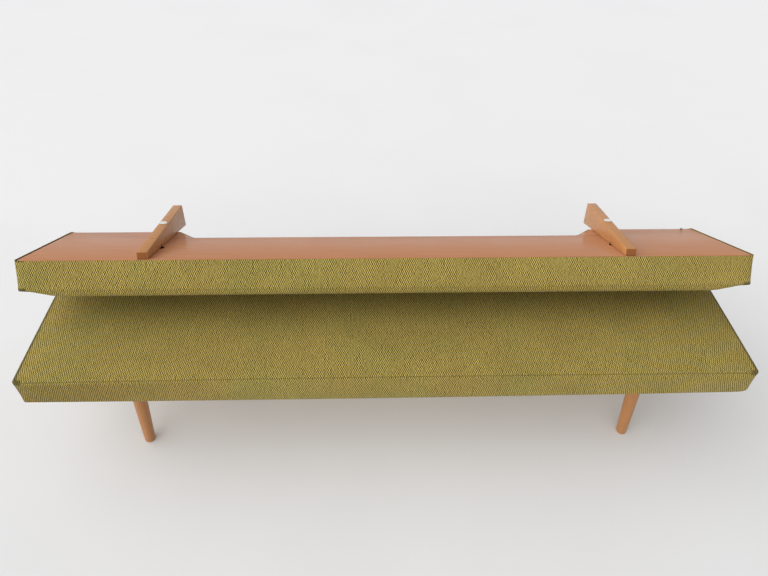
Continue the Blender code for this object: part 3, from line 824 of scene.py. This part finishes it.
legPattern = makeLeg()
legs = {}
for end, front in (("front", -1), ("rear", 1)):
    for side, sign in sides:
        (topX, topY), (footX, footY) = leg["topSpot"], leg["footSpot"]
        splay = Matrix.Identity(4)
        splay[0][2] = sign * (topX - footX) / leg["height"]
        splay[1][2] = front * (topY - footY) / leg["height"]
        place = moveBy((sign * footX, front * footY, 0)) @ splay
        piece = copyPiece(legPattern, end + side.capitalize() + "Leg")
        legs[end + "_" + side] = settle(piece, "plain", place)
discard(legPattern)

strap = {
    "count": 8,
    "edgeRound": 0.0009,
    "edgeSteps": 2,
    "cuts": 24,
    "ripple": 0.0004,
    "rippleRate": 61.0,
    "rippleWidth": 0.03,
}


def makeStrap():  # modelled on the first strap's place
    low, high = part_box("seat_webbing_1")
    pickObject(None)
    bpy.ops.mesh.primitive_cube_add(size=1.0, location=(low + high) / 2, scale=high - low)
    piece = nameNew("strapPattern")
    bpy.ops.object.transform_apply(location=True, rotation=True, scale=True)
    editPiece(piece)
    cutAcross(1, [low.y + (high.y - low.y) * i / strap["cuts"] for i in range(1, strap["cuts"])])
    roundEdges(piece, strap["edgeRound"], strap["edgeSteps"])
    middle = (low.x + high.x) / 2
    for vert in piece.data.vertices:  # the edges wander a little
        outward = (vert.co.x - middle) / strap["rippleWidth"]
        vert.co.x += strap["ripple"] * math.sin(vert.co.y * strap["rippleRate"]) * outward
    return piece, low


strapPattern, strapLow = makeStrap()
straps = {}
for number in range(1, strap["count"] + 1):
    node = "seat_webbing_%d" % number
    place = moveBy(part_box(node)[0] - strapLow)
    straps[node] = settle(copyPiece(strapPattern, "webbing%d" % number), "plain", place)
discard(strapPattern)

screw = {
    "radius": 0.0042,
    "height": 0.0020,
    "sunk": 0.0008,
    "sideShare": 0.35,
    "domeSteps": 5,
    "slotWidth": 0.0009,
    "slotDepth": 0.0009,
    "steps": 32,
    "plateSpread": 0.024,
    "hingeAcross": 0.0215,
    "hingeUp": 0.014,
    "seatLeaf": (0.004, 0.025),
    "backLeaf": (0.0043, -0.041),
    "plateTurns": (0.7, 1.3),
    "seatTurns": (0.3, 1.1),
    "backTurns": (0.9, 0.8),
}


def makeScrew():
    r, high, side = screw["radius"], screw["height"], screw["sideShare"]
    profile = [(0.0, -screw["sunk"]), (r, -screw["sunk"]), (r, high * side)]
    for step in range(1, screw["domeSteps"]):
        angle = math.pi / 2 * step / screw["domeSteps"]
        profile.append((r * math.cos(angle), high * (side + (1 - side) * math.sin(angle))))
    piece = turnProfile("screwPattern", profile + [(0.0, high)], screw["steps"])
    pickObject(None)
    slot = (3 * r, screw["slotWidth"], 2 * screw["slotDepth"])
    bpy.ops.mesh.primitive_cube_add(size=1.0, location=(0, 0, high), scale=slot)
    cutOut(piece, nameNew("screwSlot"))
    return piece


def screwPlace(spot, tip, turns, i):  # the head tipped about X, its slot turned a little further each time
    first, step = turns
    slotTurn = Matrix.Rotation(first + i * step, 4, "Z")
    return moveBy(spot) @ turnBy(tip, "X") @ slotTurn


def screwPlaces():  # a name, a body and a place for each head
    places = []
    for corner in legs:
        low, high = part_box(corner + "_leg_plate")
        middle, spread = (low + high) / 2, screw["plateSpread"]
        for i, (dx, dy) in enumerate(fourCorners):
            spot = (middle.x + dx * spread, middle.y + dy * spread, low.z)
            place = screwPlace(spot, 180, screw["plateTurns"], i)
            places.append((corner + "_leg_screw_%d" % (i + 1), "base", place))
    seatRear, seatUp = screw["seatLeaf"]
    backRear, backOut = screw["backLeaf"]
    for side, sign in sides:
        low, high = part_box(side + "_seat_hinge")
        for i, (dx, dz) in enumerate(fourCorners):
            across = (low.x + high.x) / 2 + dx * screw["hingeAcross"]
            up = dz * screw["hingeUp"]
            spot = (across, low.y + seatRear, low.z + seatUp + up)
            place = screwPlace(spot, -90, screw["seatTurns"], i)
            places.append((side + "_seat_hinge_screw_%d" % (i + 1), "base", place))
            spot = (across, back["depth"] + backRear, backOut + up)
            place = panelFrame @ screwPlace(spot, -90, screw["backTurns"], i)
            places.append((side + "_back_hinge_screw_%d" % (i + 1), "backrest", place))
    return places


screwPattern = makeScrew()
screws = []
for name, body, place in screwPlaces():
    screws.append((settle(copyPiece(screwPattern, name), "plain", place), body))
discard(screwPattern)
print("legs, webbing and", len(screws), "screws made")


# shader helpers

wiring = {"tree": None}  # the node tree being wired


def join(value, socket):
    if isinstance(value, bpy.types.NodeSocket):
        wiring["tree"].links.new(value, socket)
    else:
        socket.default_value = (*value, 1.0) if socket.type == "RGBA" else value


def put(kind, inputs=None, **settings):
    node = wiring["tree"].nodes.new(kind)
    for key, value in settings.items():
        setattr(node, key, value)
    for key, value in (inputs or {}).items():
        join(value, node.inputs[key])
    return node


def calc(operation, *values):
    node = put("ShaderNodeMath", dict(enumerate(values)), operation=operation)
    return node.outputs[0]


def plus(first, second):
    return calc("ADD", first, second)


def minus(first, second):
    return calc("SUBTRACT", first, second)


def times(first, second):
    return calc("MULTIPLY", first, second)


def wave(kind, value, rate):
    return calc(kind, times(value, rate))


def ramp(value, low, high, toLow=0.0, toHigh=1.0):
    inputs = {"Value": value, "From Min": low, "From Max": high, "To Min": toLow, "To Max": toHigh}
    return put("ShaderNodeMapRange", inputs, interpolation_type="SMOOTHSTEP").outputs["Result"]


def fade(value, low, high):
    return ramp(value, low, high, 1.0, 0.0)


def blendColour(share, first, second, how="MIX"):
    node = put("ShaderNodeMix", {0: share}, data_type="RGBA", blend_type=how)
    join(first, node.inputs[6])
    join(second, node.inputs[7])
    return node.outputs[2]


def tinted(share, colour, tint):
    return blendColour(share, colour, blendColour(1.0, colour, tint, "MULTIPLY"))


def noise(vector, scale, detail=2.0, rough=0.5):
    inputs = {"Vector": vector, "Scale": scale, "Detail": detail, "Roughness": rough}
    return put("ShaderNodeTexNoise", inputs).outputs["Fac"]


def mottle(vector, form, change):  # a noise's scale, detail and roughness, then its range and result
    return ramp(noise(vector, *form), *change)


def stretch(vector, scale, turn=(0.0, 0.0, 0.0)):
    node = put("ShaderNodeMapping", {"Vector": vector, "Scale": scale, "Rotation": turn})
    return node.outputs["Vector"]


def objectSpot():
    return put("ShaderNodeTexCoord").outputs["Object"]


def split(vector):
    return put("ShaderNodeSeparateXYZ", {"Vector": vector}).outputs


def readMark(name):
    return put("ShaderNodeAttribute", attribute_name=name).outputs["Fac"]


def bump(height, strength, depth):
    node = put("ShaderNodeBump", {"Height": height, "Strength": strength, "Distance": depth})
    return node.outputs["Normal"]


def startGroup(name, inputs, outputs):  # a vector and some values go in, values come out
    tree = wiring["tree"] = bpy.data.node_groups.new(name, "ShaderNodeTree")
    tree.interface.new_socket(name="Vector", in_out="INPUT", socket_type="NodeSocketVector")
    for way, labels in (("INPUT", inputs), ("OUTPUT", outputs)):
        for label in labels:
            tree.interface.new_socket(name=label, in_out=way, socket_type="NodeSocketFloat")
    return tree, tree.nodes.new("NodeGroupInput").outputs, tree.nodes.new("NodeGroupOutput").inputs


def useGroup(group, inputs):
    return put("ShaderNodeGroup", inputs, node_tree=group).outputs


def startMaterial(name):
    material = bpy.data.materials.new(name)
    material.use_nodes = True
    wiring["tree"] = material.node_tree
    return material, material.node_tree.nodes["Principled BSDF"].inputs


def wire(shader, colour, rough, normal):
    for label, value in (("Base Color", colour), ("Roughness", rough), ("Normal", normal)):
        join(value, shader[label])


# woven cloth: yarns passing over and under, and dark ticks on a staggered repeat six yarns wide

weaveForm = {
    "wander": {"Scale": 6.0, "Detail": 1.0},
    "yarnEdge": 0.3,
    "floatEdge": 0.25,
    "checks": 0.90,
    "lines": -0.45,
    "underHeight": 0.35,
    "speckleSeed": 7.0,
}


def cellChance(column, row, seed):  # one random value for each cell
    cell = put("ShaderNodeCombineXYZ", {"X": column, "Y": row, "Z": seed}).outputs[0]
    return put("ShaderNodeTexWhiteNoise", {"Vector": cell}, noise_dimensions="3D").outputs["Value"]


def makeWeaveGroup():
    measures, results = ("Yarn Width", "Float Length", "Unevenness"), ("Tick", "Height", "Slub", "Speckle")
    tree, given, result = startGroup("staggeredWeave", measures, results)
    vector = given["Vector"]
    wander = put("ShaderNodeTexNoise", {"Vector": vector, **weaveForm["wander"]}).outputs["Color"]
    centred = put("ShaderNodeVectorMath", {0: wander, 1: (0.5, 0.5, 0.5)}, operation="SUBTRACT")
    shift = put("ShaderNodeVectorMath", {0: centred.outputs[0], "Scale": given["Unevenness"]},
                operation="SCALE")
    moved = put("ShaderNodeVectorMath", {0: vector, 1: shift.outputs[0]}, operation="ADD")
    parts = split(moved.outputs[0])
    across = calc("DIVIDE", parts["X"], given["Yarn Width"])
    along = calc("DIVIDE", parts["Y"], given["Float Length"])
    column, row = calc("FLOOR", across), calc("FLOOR", along)
    hump = wave("SINE", calc("FRACT", across), math.pi)
    rise = wave("SINE", calc("FRACT", along), math.pi)
    grain = ramp(hump, 0.0, weaveForm["yarnEdge"])
    grain = times(grain, ramp(rise, 0.0, weaveForm["floatEdge"]))
    under = calc("FLOORED_MODULO", plus(column, row), 2.0)
    over = times(minus(1.0, under), grain)
    height = plus(over, times(under, times(rise, weaveForm["underHeight"])))
    odd = calc("FLOORED_MODULO", column, 2.0)
    sign = minus(1.0, times(odd, 2.0))
    checks = times(sign, wave("SINE", along, math.pi))
    thirds = wave("COSINE", column, 2.0 * math.pi / 3.0)
    dashes = wave("COSINE", along, 2.0 * math.pi)
    lines = times(thirds, times(dashes, weaveForm["lines"]))
    tick = plus(times(checks, weaveForm["checks"]), lines)
    slub = cellChance(column, row, 0.0)
    columnPair = calc("FLOOR", calc("DIVIDE", column, 2.0))
    halfRow = calc("FLOOR", times(along, 2.0))
    chance = cellChance(columnPair, halfRow, weaveForm["speckleSeed"])
    speckle = times(minus(chance, 0.5), sign)
    for label, value in zip(results, (tick, height, slub, speckle)):
        join(value, result[label])
    return tree


weave = makeWeaveGroup()


def useWeave(vector, look):
    return useGroup(weave, {"Vector": vector, "Yarn Width": look["yarnWidth"],
                                  "Float Length": look["floatLength"], "Unevenness": look["unevenness"]})


cloth = {
    "yarnWidth": 0.00285,
    "floatLength": 0.0058,
    "unevenness": 0.0100,
    "ground": (0.292, 0.218, 0.042),
    "pale": (0.605, 0.465, 0.135),
    "dark": (0.015, 0.006, 0.000),
    "slubs": (0.8, 1.3),
    "speckle": 0.9,
    "green": (0.88, 1.0, 1.0),
    "stain": ((5.0, 4.0, 0.6), (0.42, 0.70, 0.0, 0.6)),
    "tone": ((9.0, 3.0, 0.6), (0.25, 0.75, 0.93, 1.06)),
    "darkest": 0.40,
    # the sofa's ends, where painted shade lies along the seams and the hem
    "endZone": (0.970, 0.982),
    # painted shade along the stitched seams
    "seamShade": 0.66,
    "seamReach": (0.0003, 0.0030),
    "seatToBack": (0.404, 0.412, 1.0, 0.25),
    # painted shade along the seams at both ends, and how far it reaches
    "endSeamShadeLevel": 0.42,
    "endSeamShadeReach": (0.0050, 0.0110),
    # painted shade along the loose hem at both ends, stronger on the left
    "hemShade": 0.45,
    "hemReach": (0.0015, 0.0050),
    "hemSides": (-0.5, 0.5, 1.0, 0.5),
    "brown": (0.80, 0.75, 0.72),
    "grimeBelow": (0.385, 0.400),
    "grimeFront": (-0.318, -0.308),
    "grimeLeft": (-0.95, -0.35),
    "roughness": (0.95, 0.80),
    "sheen": 0.05,
    "sheenRoughness": 0.5,
    "specular": 0.2,
    "pucker": (48.0, 2.0),
    "puckerReach": 0.035,
    "puckerHeight": 2.0,
    "yarnHeight": 0.4,
    "relief": (0.7, 0.0012),
}


def makeCloth():
    material, shader = startMaterial("oliveDottedWeave")
    uv = put("ShaderNodeUVMap", uv_map="weave").outputs["UV"]
    spot = objectSpot()
    parts = split(spot)
    yarn = useWeave(uv, cloth)
    strength = times(yarn["Tick"], ramp(yarn["Slub"], 0.0, 1.0, *cloth["slubs"]))
    swing = plus(strength, times(yarn["Speckle"], cloth["speckle"]))
    colour = blendColour(swing, cloth["ground"], cloth["dark"])
    colour = blendColour(times(swing, -1.0), colour, cloth["pale"])
    colour = tinted(mottle(spot, *cloth["stain"]), colour, cloth["green"])
    tone = mottle(spot, *cloth["tone"])
    seam, hem = readMark("seamGap"), readMark("hemGap")
    atEnds = ramp(calc("ABSOLUTE", parts["X"]), *cloth["endZone"])
    # painted shade in the groove along the stitched seams
    line = ramp(seam, *cloth["seamReach"], 1.0 - cloth["seamShade"], 0.0)
    line = times(ramp(parts["Z"], *cloth["seatToBack"]), line)  # the seam's painted shade is full on the seat and a quarter as strong on the backrest
    # painted shade along the seams at both ends, darkest right at the seam
    endSeamShade = times(atEnds, fade(seam, *cloth["endSeamShadeReach"]))
    # painted shade along the loose hem at both ends, stronger on the left
    rim = times(atEnds, fade(hem, *cloth["hemReach"]))
    rim = times(rim, ramp(parts["X"], *cloth["hemSides"]))
    tone = times(tone, minus(1.0, line))
    tone = times(tone, ramp(endSeamShade, 0.0, 1.0, 1.0, cloth["endSeamShadeLevel"]))
    tone = times(tone, ramp(rim, 0.0, 1.0, 1.0, cloth["hemShade"]))
    tone = calc("MAXIMUM", tone, cloth["darkest"])
    grimy = times(fade(parts["Z"], *cloth["grimeBelow"]), fade(parts["Y"], *cloth["grimeFront"]))
    grimy = times(grimy, fade(parts["X"], *cloth["grimeLeft"]))
    colour = tinted(grimy, colour, cloth["brown"])
    grey = put("ShaderNodeCombineColor", {"Red": tone, "Green": tone, "Blue": tone}).outputs["Color"]
    colour = blendColour(1.0, colour, grey, "MULTIPLY")
    shader["Sheen Weight"].default_value = cloth["sheen"]
    shader["Sheen Roughness"].default_value = cloth["sheenRoughness"]
    shader["Specular IOR Level"].default_value = cloth["specular"]
    pucker = times(noise(uv, *cloth["pucker"]), fade(seam, 0.0, cloth["puckerReach"]))
    height = times(yarn["Height"], cloth["yarnHeight"])
    height = plus(height, times(pucker, cloth["puckerHeight"]))
    rough = ramp(yarn["Height"], 0.0, 1.0, *cloth["roughness"])
    wire(shader, colour, rough, bump(height, *cloth["relief"]))
    return material


webbing = {
    "yarnWidth": 0.0024,
    "floatLength": 0.0024,
    "unevenness": 0.0012,
    "light": (0.42, 0.31, 0.17),
    "dark": (0.16, 0.105, 0.05),
    "fleck": (0.30, 0.12, 0.05),
    "flecks": ((60.0, 4.0, 0.7), (0.3, 0.7, 0.0, 0.35)),
    "roughness": (0.95, 0.8),
    "relief": (0.7, 0.0006),
}


def makeWebbing():
    material, shader = startMaterial("juteWebbing")
    spot = objectSpot()
    height = useWeave(spot, webbing)["Height"]
    # the yarns are coloured darker where they dip under, a painted shade between them
    colour = blendColour(height, webbing["dark"], webbing["light"])
    colour = blendColour(mottle(spot, *webbing["flecks"]), colour, webbing["fleck"])
    rough = ramp(height, 0.0, 1.0, *webbing["roughness"])
    wire(shader, colour, rough, bump(height, *webbing["relief"]))
    return material


foamLook = {
    "colour": (0.80, 0.70, 0.45),
    "pore": (0.52, 0.42, 0.22),
    "cellsPerMetre": 420.0,
    "poreEdge": 0.6,
    "yellow": (0.62, 0.47, 0.22),
    "yellowed": ((5.0, 4.0), (0.35, 0.75, 0.0, 0.3)),
    "roughness": (1.0, 0.85),
    "relief": (0.6, 0.001),
}


def makeFoamLook():
    material, shader = startMaterial("openCellFoam")
    spot = objectSpot()
    cells = put("ShaderNodeTexVoronoi", {"Vector": spot, "Scale": foamLook["cellsPerMetre"]})
    depth = ramp(cells.outputs["Distance"], 0.0, foamLook["poreEdge"])
    # the pores are coloured darker, a painted shade in the hollows
    colour = blendColour(depth, foamLook["pore"], foamLook["colour"])
    colour = blendColour(mottle(spot, *foamLook["yellowed"]), colour, foamLook["yellow"])
    rough = ramp(depth, 0.0, 1.0, *foamLook["roughness"])
    wire(shader, colour, rough, bump(depth, *foamLook["relief"]))
    return material


# wood: growth bands, fine fibres and short flecks, all running along the vector's X

woodForm = {
    "drift": ((0.9, 7.0, 7.0), 1.0, 3.0),
    "driftShare": 9.0,
    "slant": 0.6,
    "bandRise": 1.6,
    "bandFall": 14.0,
    "fibreStretch": (0.018, 1.0, 1.0),
    "fibreDetail": (4.0, 0.65),
    "fleckStretch": (0.10, 1.0, 1.0),
    "fleckDetail": (1.0, 0.5),
    "fleckRange": (0.62, 0.74),
    "midRange": (0.3, 0.7),
    "cloud": (4.0, 3.0),
    "smear": (14.0, 4.0, 0.6),
    "fibreHeight": 0.6,
    "depth": 0.0003,
}


def makeWoodGroup():
    tree, given, result = startGroup("woodFigure", ("Bands", "Fibres"), ("Band", "Fibre", "Fleck"))
    vector, fibres = given["Vector"], given["Fibres"]
    size, scale, detail = woodForm["drift"]
    drift = noise(stretch(vector, size), scale, detail)
    parts = split(vector)
    cross = plus(parts["Y"], times(parts["Z"], woodForm["slant"]))
    phase = plus(times(cross, given["Bands"]), times(drift, woodForm["driftShare"]))
    saw = calc("FRACT", phase)
    edge = minus(1.0, calc("POWER", saw, woodForm["bandFall"]))
    band = times(calc("POWER", saw, woodForm["bandRise"]), edge)
    fibre = noise(stretch(vector, woodForm["fibreStretch"]), fibres, *woodForm["fibreDetail"])
    fleck = noise(stretch(vector, woodForm["fleckStretch"]), fibres, *woodForm["fleckDetail"])
    join(band, result["Band"])
    join(fibre, result["Fibre"])
    join(ramp(fleck, *woodForm["fleckRange"]), result["Fleck"])
    return tree


woodFigure = makeWoodGroup()


def makeWood(name, look):
    material, shader = startMaterial(name)
    spot = objectSpot()
    for turn in look["turns"]:
        spot = stretch(spot, (1.0, 1.0, 1.0), tuple(math.radians(part) for part in turn))
    figure = useGroup(woodFigure, {"Vector": spot, "Bands": look["bands"], "Fibres": look["fibres"]})
    middle = woodForm["midRange"]
    band = times(figure["Band"], look["bandShare"])
    fibre = ramp(figure["Fibre"], *middle, 0.0, look["fibreShare"])
    fleck = times(figure["Fleck"], look["fleckShare"])
    cloudy = mottle(spot, woodForm["cloud"], (*middle, 0.0, look["cloud"]))
    colour = blendColour(band, look["light"], look["dark"])
    for share, shade in ((fibre, look["fibre"]), (fleck, look["fleck"]), (cloudy, look["dark"])):
        colour = blendColour(share, colour, shade)
    # darker end grain, and a painted shade inside the panel's bores
    if "endGrainAndBoreShade" in look:
        colour = tinted(readMark("endGrainAndBoreShade"), colour, look["endGrainAndBoreShade"])
    rough = mottle(spot, woodForm["smear"], (*middle, *look["roughness"]))
    shader["IOR"].default_value = look["ior"]
    height = minus(times(figure["Fibre"], woodForm["fibreHeight"]), figure["Fleck"])
    wire(shader, colour, rough, bump(height, look["relief"], woodForm["depth"]))
    return material


veneerLook = {
    "turns": [(fold["tilt"], 0, 0)],
    "bands": 26.0,
    "fibres": 900.0,
    "light": (0.545, 0.252, 0.126),
    "dark": (0.475, 0.206, 0.098),
    "bandShare": 0.55,
    "fibre": (0.47, 0.195, 0.095),
    "fibreShare": 0.45,
    "fleck": (0.32, 0.12, 0.05),
    "fleckShare": 0.3,
    "cloud": 0.25,
    "roughness": (0.17, 0.26),
    "ior": 1.09,
    "relief": 0.10,
    # a painted shade, nearly black, inside the bores under the arms
    "endGrainAndBoreShade": (0.10, 0.07, 0.05),
}
armLook = {
    "turns": [(fold["tilt"] + math.degrees(armSlope) * 0.5, 0, 0), (0, 0, -90)],
    "bands": 120.0,
    "fibres": 1100.0,
    "light": (0.53, 0.250, 0.093),
    "dark": (0.435, 0.193, 0.065),
    "bandShare": 0.6,
    "fibre": (0.46, 0.205, 0.072),
    "fibreShare": 0.5,
    "fleck": (0.28, 0.11, 0.035),
    "fleckShare": 0.4,
    "cloud": 0.2,
    "roughness": (0.24, 0.34),
    "ior": 1.18,
    "relief": 0.15,
    "endGrainAndBoreShade": (0.55, 0.42, 0.34),
}
legLook = {
    "turns": [(0, 90, 0)],
    "bands": 110.0,
    "fibres": 1100.0,
    "light": (0.52, 0.240, 0.085),
    "dark": (0.37, 0.150, 0.045),
    "bandShare": 0.6,
    "fibre": (0.36, 0.145, 0.045),
    "fibreShare": 0.5,
    "fleck": (0.20, 0.07, 0.02),
    "fleckShare": 0.5,
    "cloud": 0.25,
    "roughness": (0.28, 0.42),
    "ior": 1.45,
    "relief": 0.15,
}
frameLook = {
    "turns": [],
    "bands": 90.0,
    "fibres": 800.0,
    "light": (0.66, 0.50, 0.30),
    "dark": (0.50, 0.32, 0.15),
    "bandShare": 0.7,
    "fibre": (0.52, 0.36, 0.19),
    "fibreShare": 0.5,
    "fleck": (0.34, 0.20, 0.09),
    "fleckShare": 0.4,
    "cloud": 0.3,
    "roughness": (0.62, 0.82),
    "ior": 1.45,
    "relief": 0.45,
}
crossFrameLook = dict(frameLook, turns=[(0, 0, 90)])
backFrameLook = dict(frameLook, turns=[(fold["tilt"], 0, 0)])
backCrossLook = dict(frameLook, turns=[(fold["tilt"], 0, 0), (0, 0, 90)])
footBoardLook = dict(armLook, turns=[], endGrainAndBoreShade=(1.0, 1.0, 1.0))


# metal: fine scratches and a little wear

metalForm = {
    "scratchStretch": (40.0, 900.0, 900.0),
    "scratch": (1.0, 3.0, 0.7),
    "scratchRange": (0.3, 0.7),
    "stain": ((90.0, 4.0, 0.65), (0.45, 0.75, 0.0, 0.6)),
    "depth": 0.0002,
}
steelLook = {
    "colour": (0.30, 0.30, 0.31),
    "stain": (0.19, 0.17, 0.15),
    "roughness": (0.34, 0.55),
    "relief": 0.15,
}
darkLook = {
    "colour": (0.030, 0.026, 0.022),
    "stain": (0.018, 0.013, 0.010),
    "roughness": (0.50, 0.65),
    "relief": 0.3,
}
brightLook = {
    "colour": (0.82, 0.81, 0.78),
    "stain": (0.62, 0.60, 0.55),
    "roughness": (0.10, 0.22),
    "relief": 0.04,
}


def makeMetal(name, look):
    material, shader = startMaterial(name)
    spot = objectSpot()
    scratch = noise(stretch(spot, metalForm["scratchStretch"]), *metalForm["scratch"])
    colour = blendColour(mottle(spot, *metalForm["stain"]), look["colour"], look["stain"])
    shader["Metallic"].default_value = 1.0
    rough = ramp(scratch, *metalForm["scratchRange"], *look["roughness"])
    wire(shader, colour, rough, bump(scratch, look["relief"], metalForm["depth"]))
    return material


clothFinish = makeCloth()
webbingFinish = makeWebbing()
foamFinish = makeFoamLook()
veneerFinish = makeWood("panelVeneer", veneerLook)
armFinish = makeWood("armBeech", armLook)
legFinish = makeWood("legBeech", legLook)
frameFinish = makeWood("frameSoftwood", frameLook)
crossFinish = makeWood("frameSoftwoodAcross", crossFrameLook)
backFrameFinish = makeWood("backFrameSoftwood", backFrameLook)
backCrossFinish = makeWood("backFrameSoftwoodAcross", backCrossLook)
footBoardFinish = makeWood("footBoardBeech", footBoardLook)
steelFinish = makeMetal("plainSteel", steelLook)
darkFinish = makeMetal("darkenedSteel", darkLook)
brightFinish = makeMetal("polishedMetal", brightLook)
print("finishes mixed")


# finishes, bodies and what each piece stands for

def dress(piece, finish):
    piece.data.materials.clear()
    piece.data.materials.append(finish)


def assign(piece, finish, slot, body, *nodes):
    dress(piece, finish)
    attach(piece, body)
    if nodes:
        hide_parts(*nodes)


assign(seatCover, clothFinish, "upholstery", "base", "seat_cover")
assign(seatFoam, foamFinish, "foam", "base", "seat_foam")
assign(backCover, clothFinish, "upholstery", "backrest", "backrest_cover")
assign(backFoam, foamFinish, "foam", "backrest", "backrest_foam")
assign(backPanel, veneerFinish, "panel_veneer", "backrest", "back_panel")
for side, sign in sides:
    assign(arms[side], armFinish, "arm_wood", "backrest", side + "_arm")
    assign(bolts[side], brightFinish, "polished_metal", "backrest", side + "_arm_bolt")
for corner, piece in legs.items():
    assign(piece, legFinish, "leg_wood", "base", corner + "_leg")
for node, piece in straps.items():
    assign(piece, webbingFinish, "webbing", "base", node)
assign(panelTack, darkFinish, "steel", "backrest")
for piece, body in screws:
    assign(piece, steelFinish, "steel", body)

cadFinishes = {
    "foot_board": footBoardFinish,
    "seat_front_rail": frameFinish,
    "seat_rear_rail": frameFinish,
    "backrest_top_rail": backFrameFinish,
    "backrest_notch_rail": backFrameFinish,
}
for side, sign in sides:
    cadFinishes[side + "_foot_rail"] = backFrameFinish
    for name in ("seat_%s_rail", "seat_%s_cross_rail", "%s_bearer"):
        cadFinishes[name % side] = crossFinish
    for name in ("%s_end_stile", "%s_arm_stile"):
        cadFinishes[name % side] = backCrossFinish
for name, node in frame["nodes"].items():
    if node.hide_render:
        continue
    finish = cadFinishes.get(name, steelFinish)  # the rest are plates, studs, hinges and pins
    for holder in node.material_slots:
        holder.material = finish
    if not node.material_slots:
        node.data.materials.append(finish)
print("pieces dressed")


# floor, light and background

studio = {
    "floorNear": (0.76, 0.76, 0.765),
    "floorFar": (0.83, 0.83, 0.84),
    "floorSize": 14.0,
    "floorDepth": (-1.2, 1.6),
    "floorUneven": ((1.5, 3.0), (0.3, 0.7, -0.15, 0.15)),
    "floorRoughness": 0.7,
    "backdrop": 0.87,
    "fill": 0.40,
    "window": 2.0,
    "windowWay": (-0.85, -0.28, 0.48),
    "spread": 1.5,
}


def makeFloor():
    pickObject(None)
    bpy.ops.mesh.primitive_plane_add(size=studio["floorSize"])
    floor = nameNew("floor")
    material, shader = startMaterial("paleFloor")
    spot = objectSpot()
    # painted light: the floor is coloured paler towards the back
    share = ramp(split(spot)["Y"], *studio["floorDepth"])
    share = plus(share, mottle(spot, *studio["floorUneven"]))
    join(blendColour(share, studio["floorNear"], studio["floorFar"]), shader["Base Color"])
    shader["Roughness"].default_value = studio["floorRoughness"]
    dress(floor, material)


def makeLight():  # a soft window on one side, and a pale backdrop where the camera and reflections look
    world = bpy.data.worlds.new("studio")
    scene.world = world
    world.use_nodes = True
    wiring["tree"] = world.node_tree
    way = Vector(studio["windowWay"]).normalized()
    ray = put("ShaderNodeTexCoord").outputs["Generated"]
    facing = put("ShaderNodeVectorMath", {0: ray, 1: way}, operation="DOT_PRODUCT").outputs["Value"]
    glow = calc("POWER", calc("MAXIMUM", facing, 0.0), studio["spread"])
    light = plus(times(glow, studio["window"]), studio["fill"])
    path = put("ShaderNodeLightPath").outputs
    seen = plus(path["Is Camera Ray"], path["Is Glossy Ray"])
    seen = calc("MINIMUM", plus(seen, path["Is Transmission Ray"]), 1.0)
    lit = times(minus(1.0, seen), light)
    sky = world.node_tree.nodes["Background"].inputs
    sky["Color"].default_value = (1.0, 1.0, 1.0, 1.0)
    join(plus(times(seen, studio["backdrop"]), lit), sky["Strength"])
    scene.view_settings.view_transform = "Standard"


makeFloor()
makeLight()
pickObject(None)
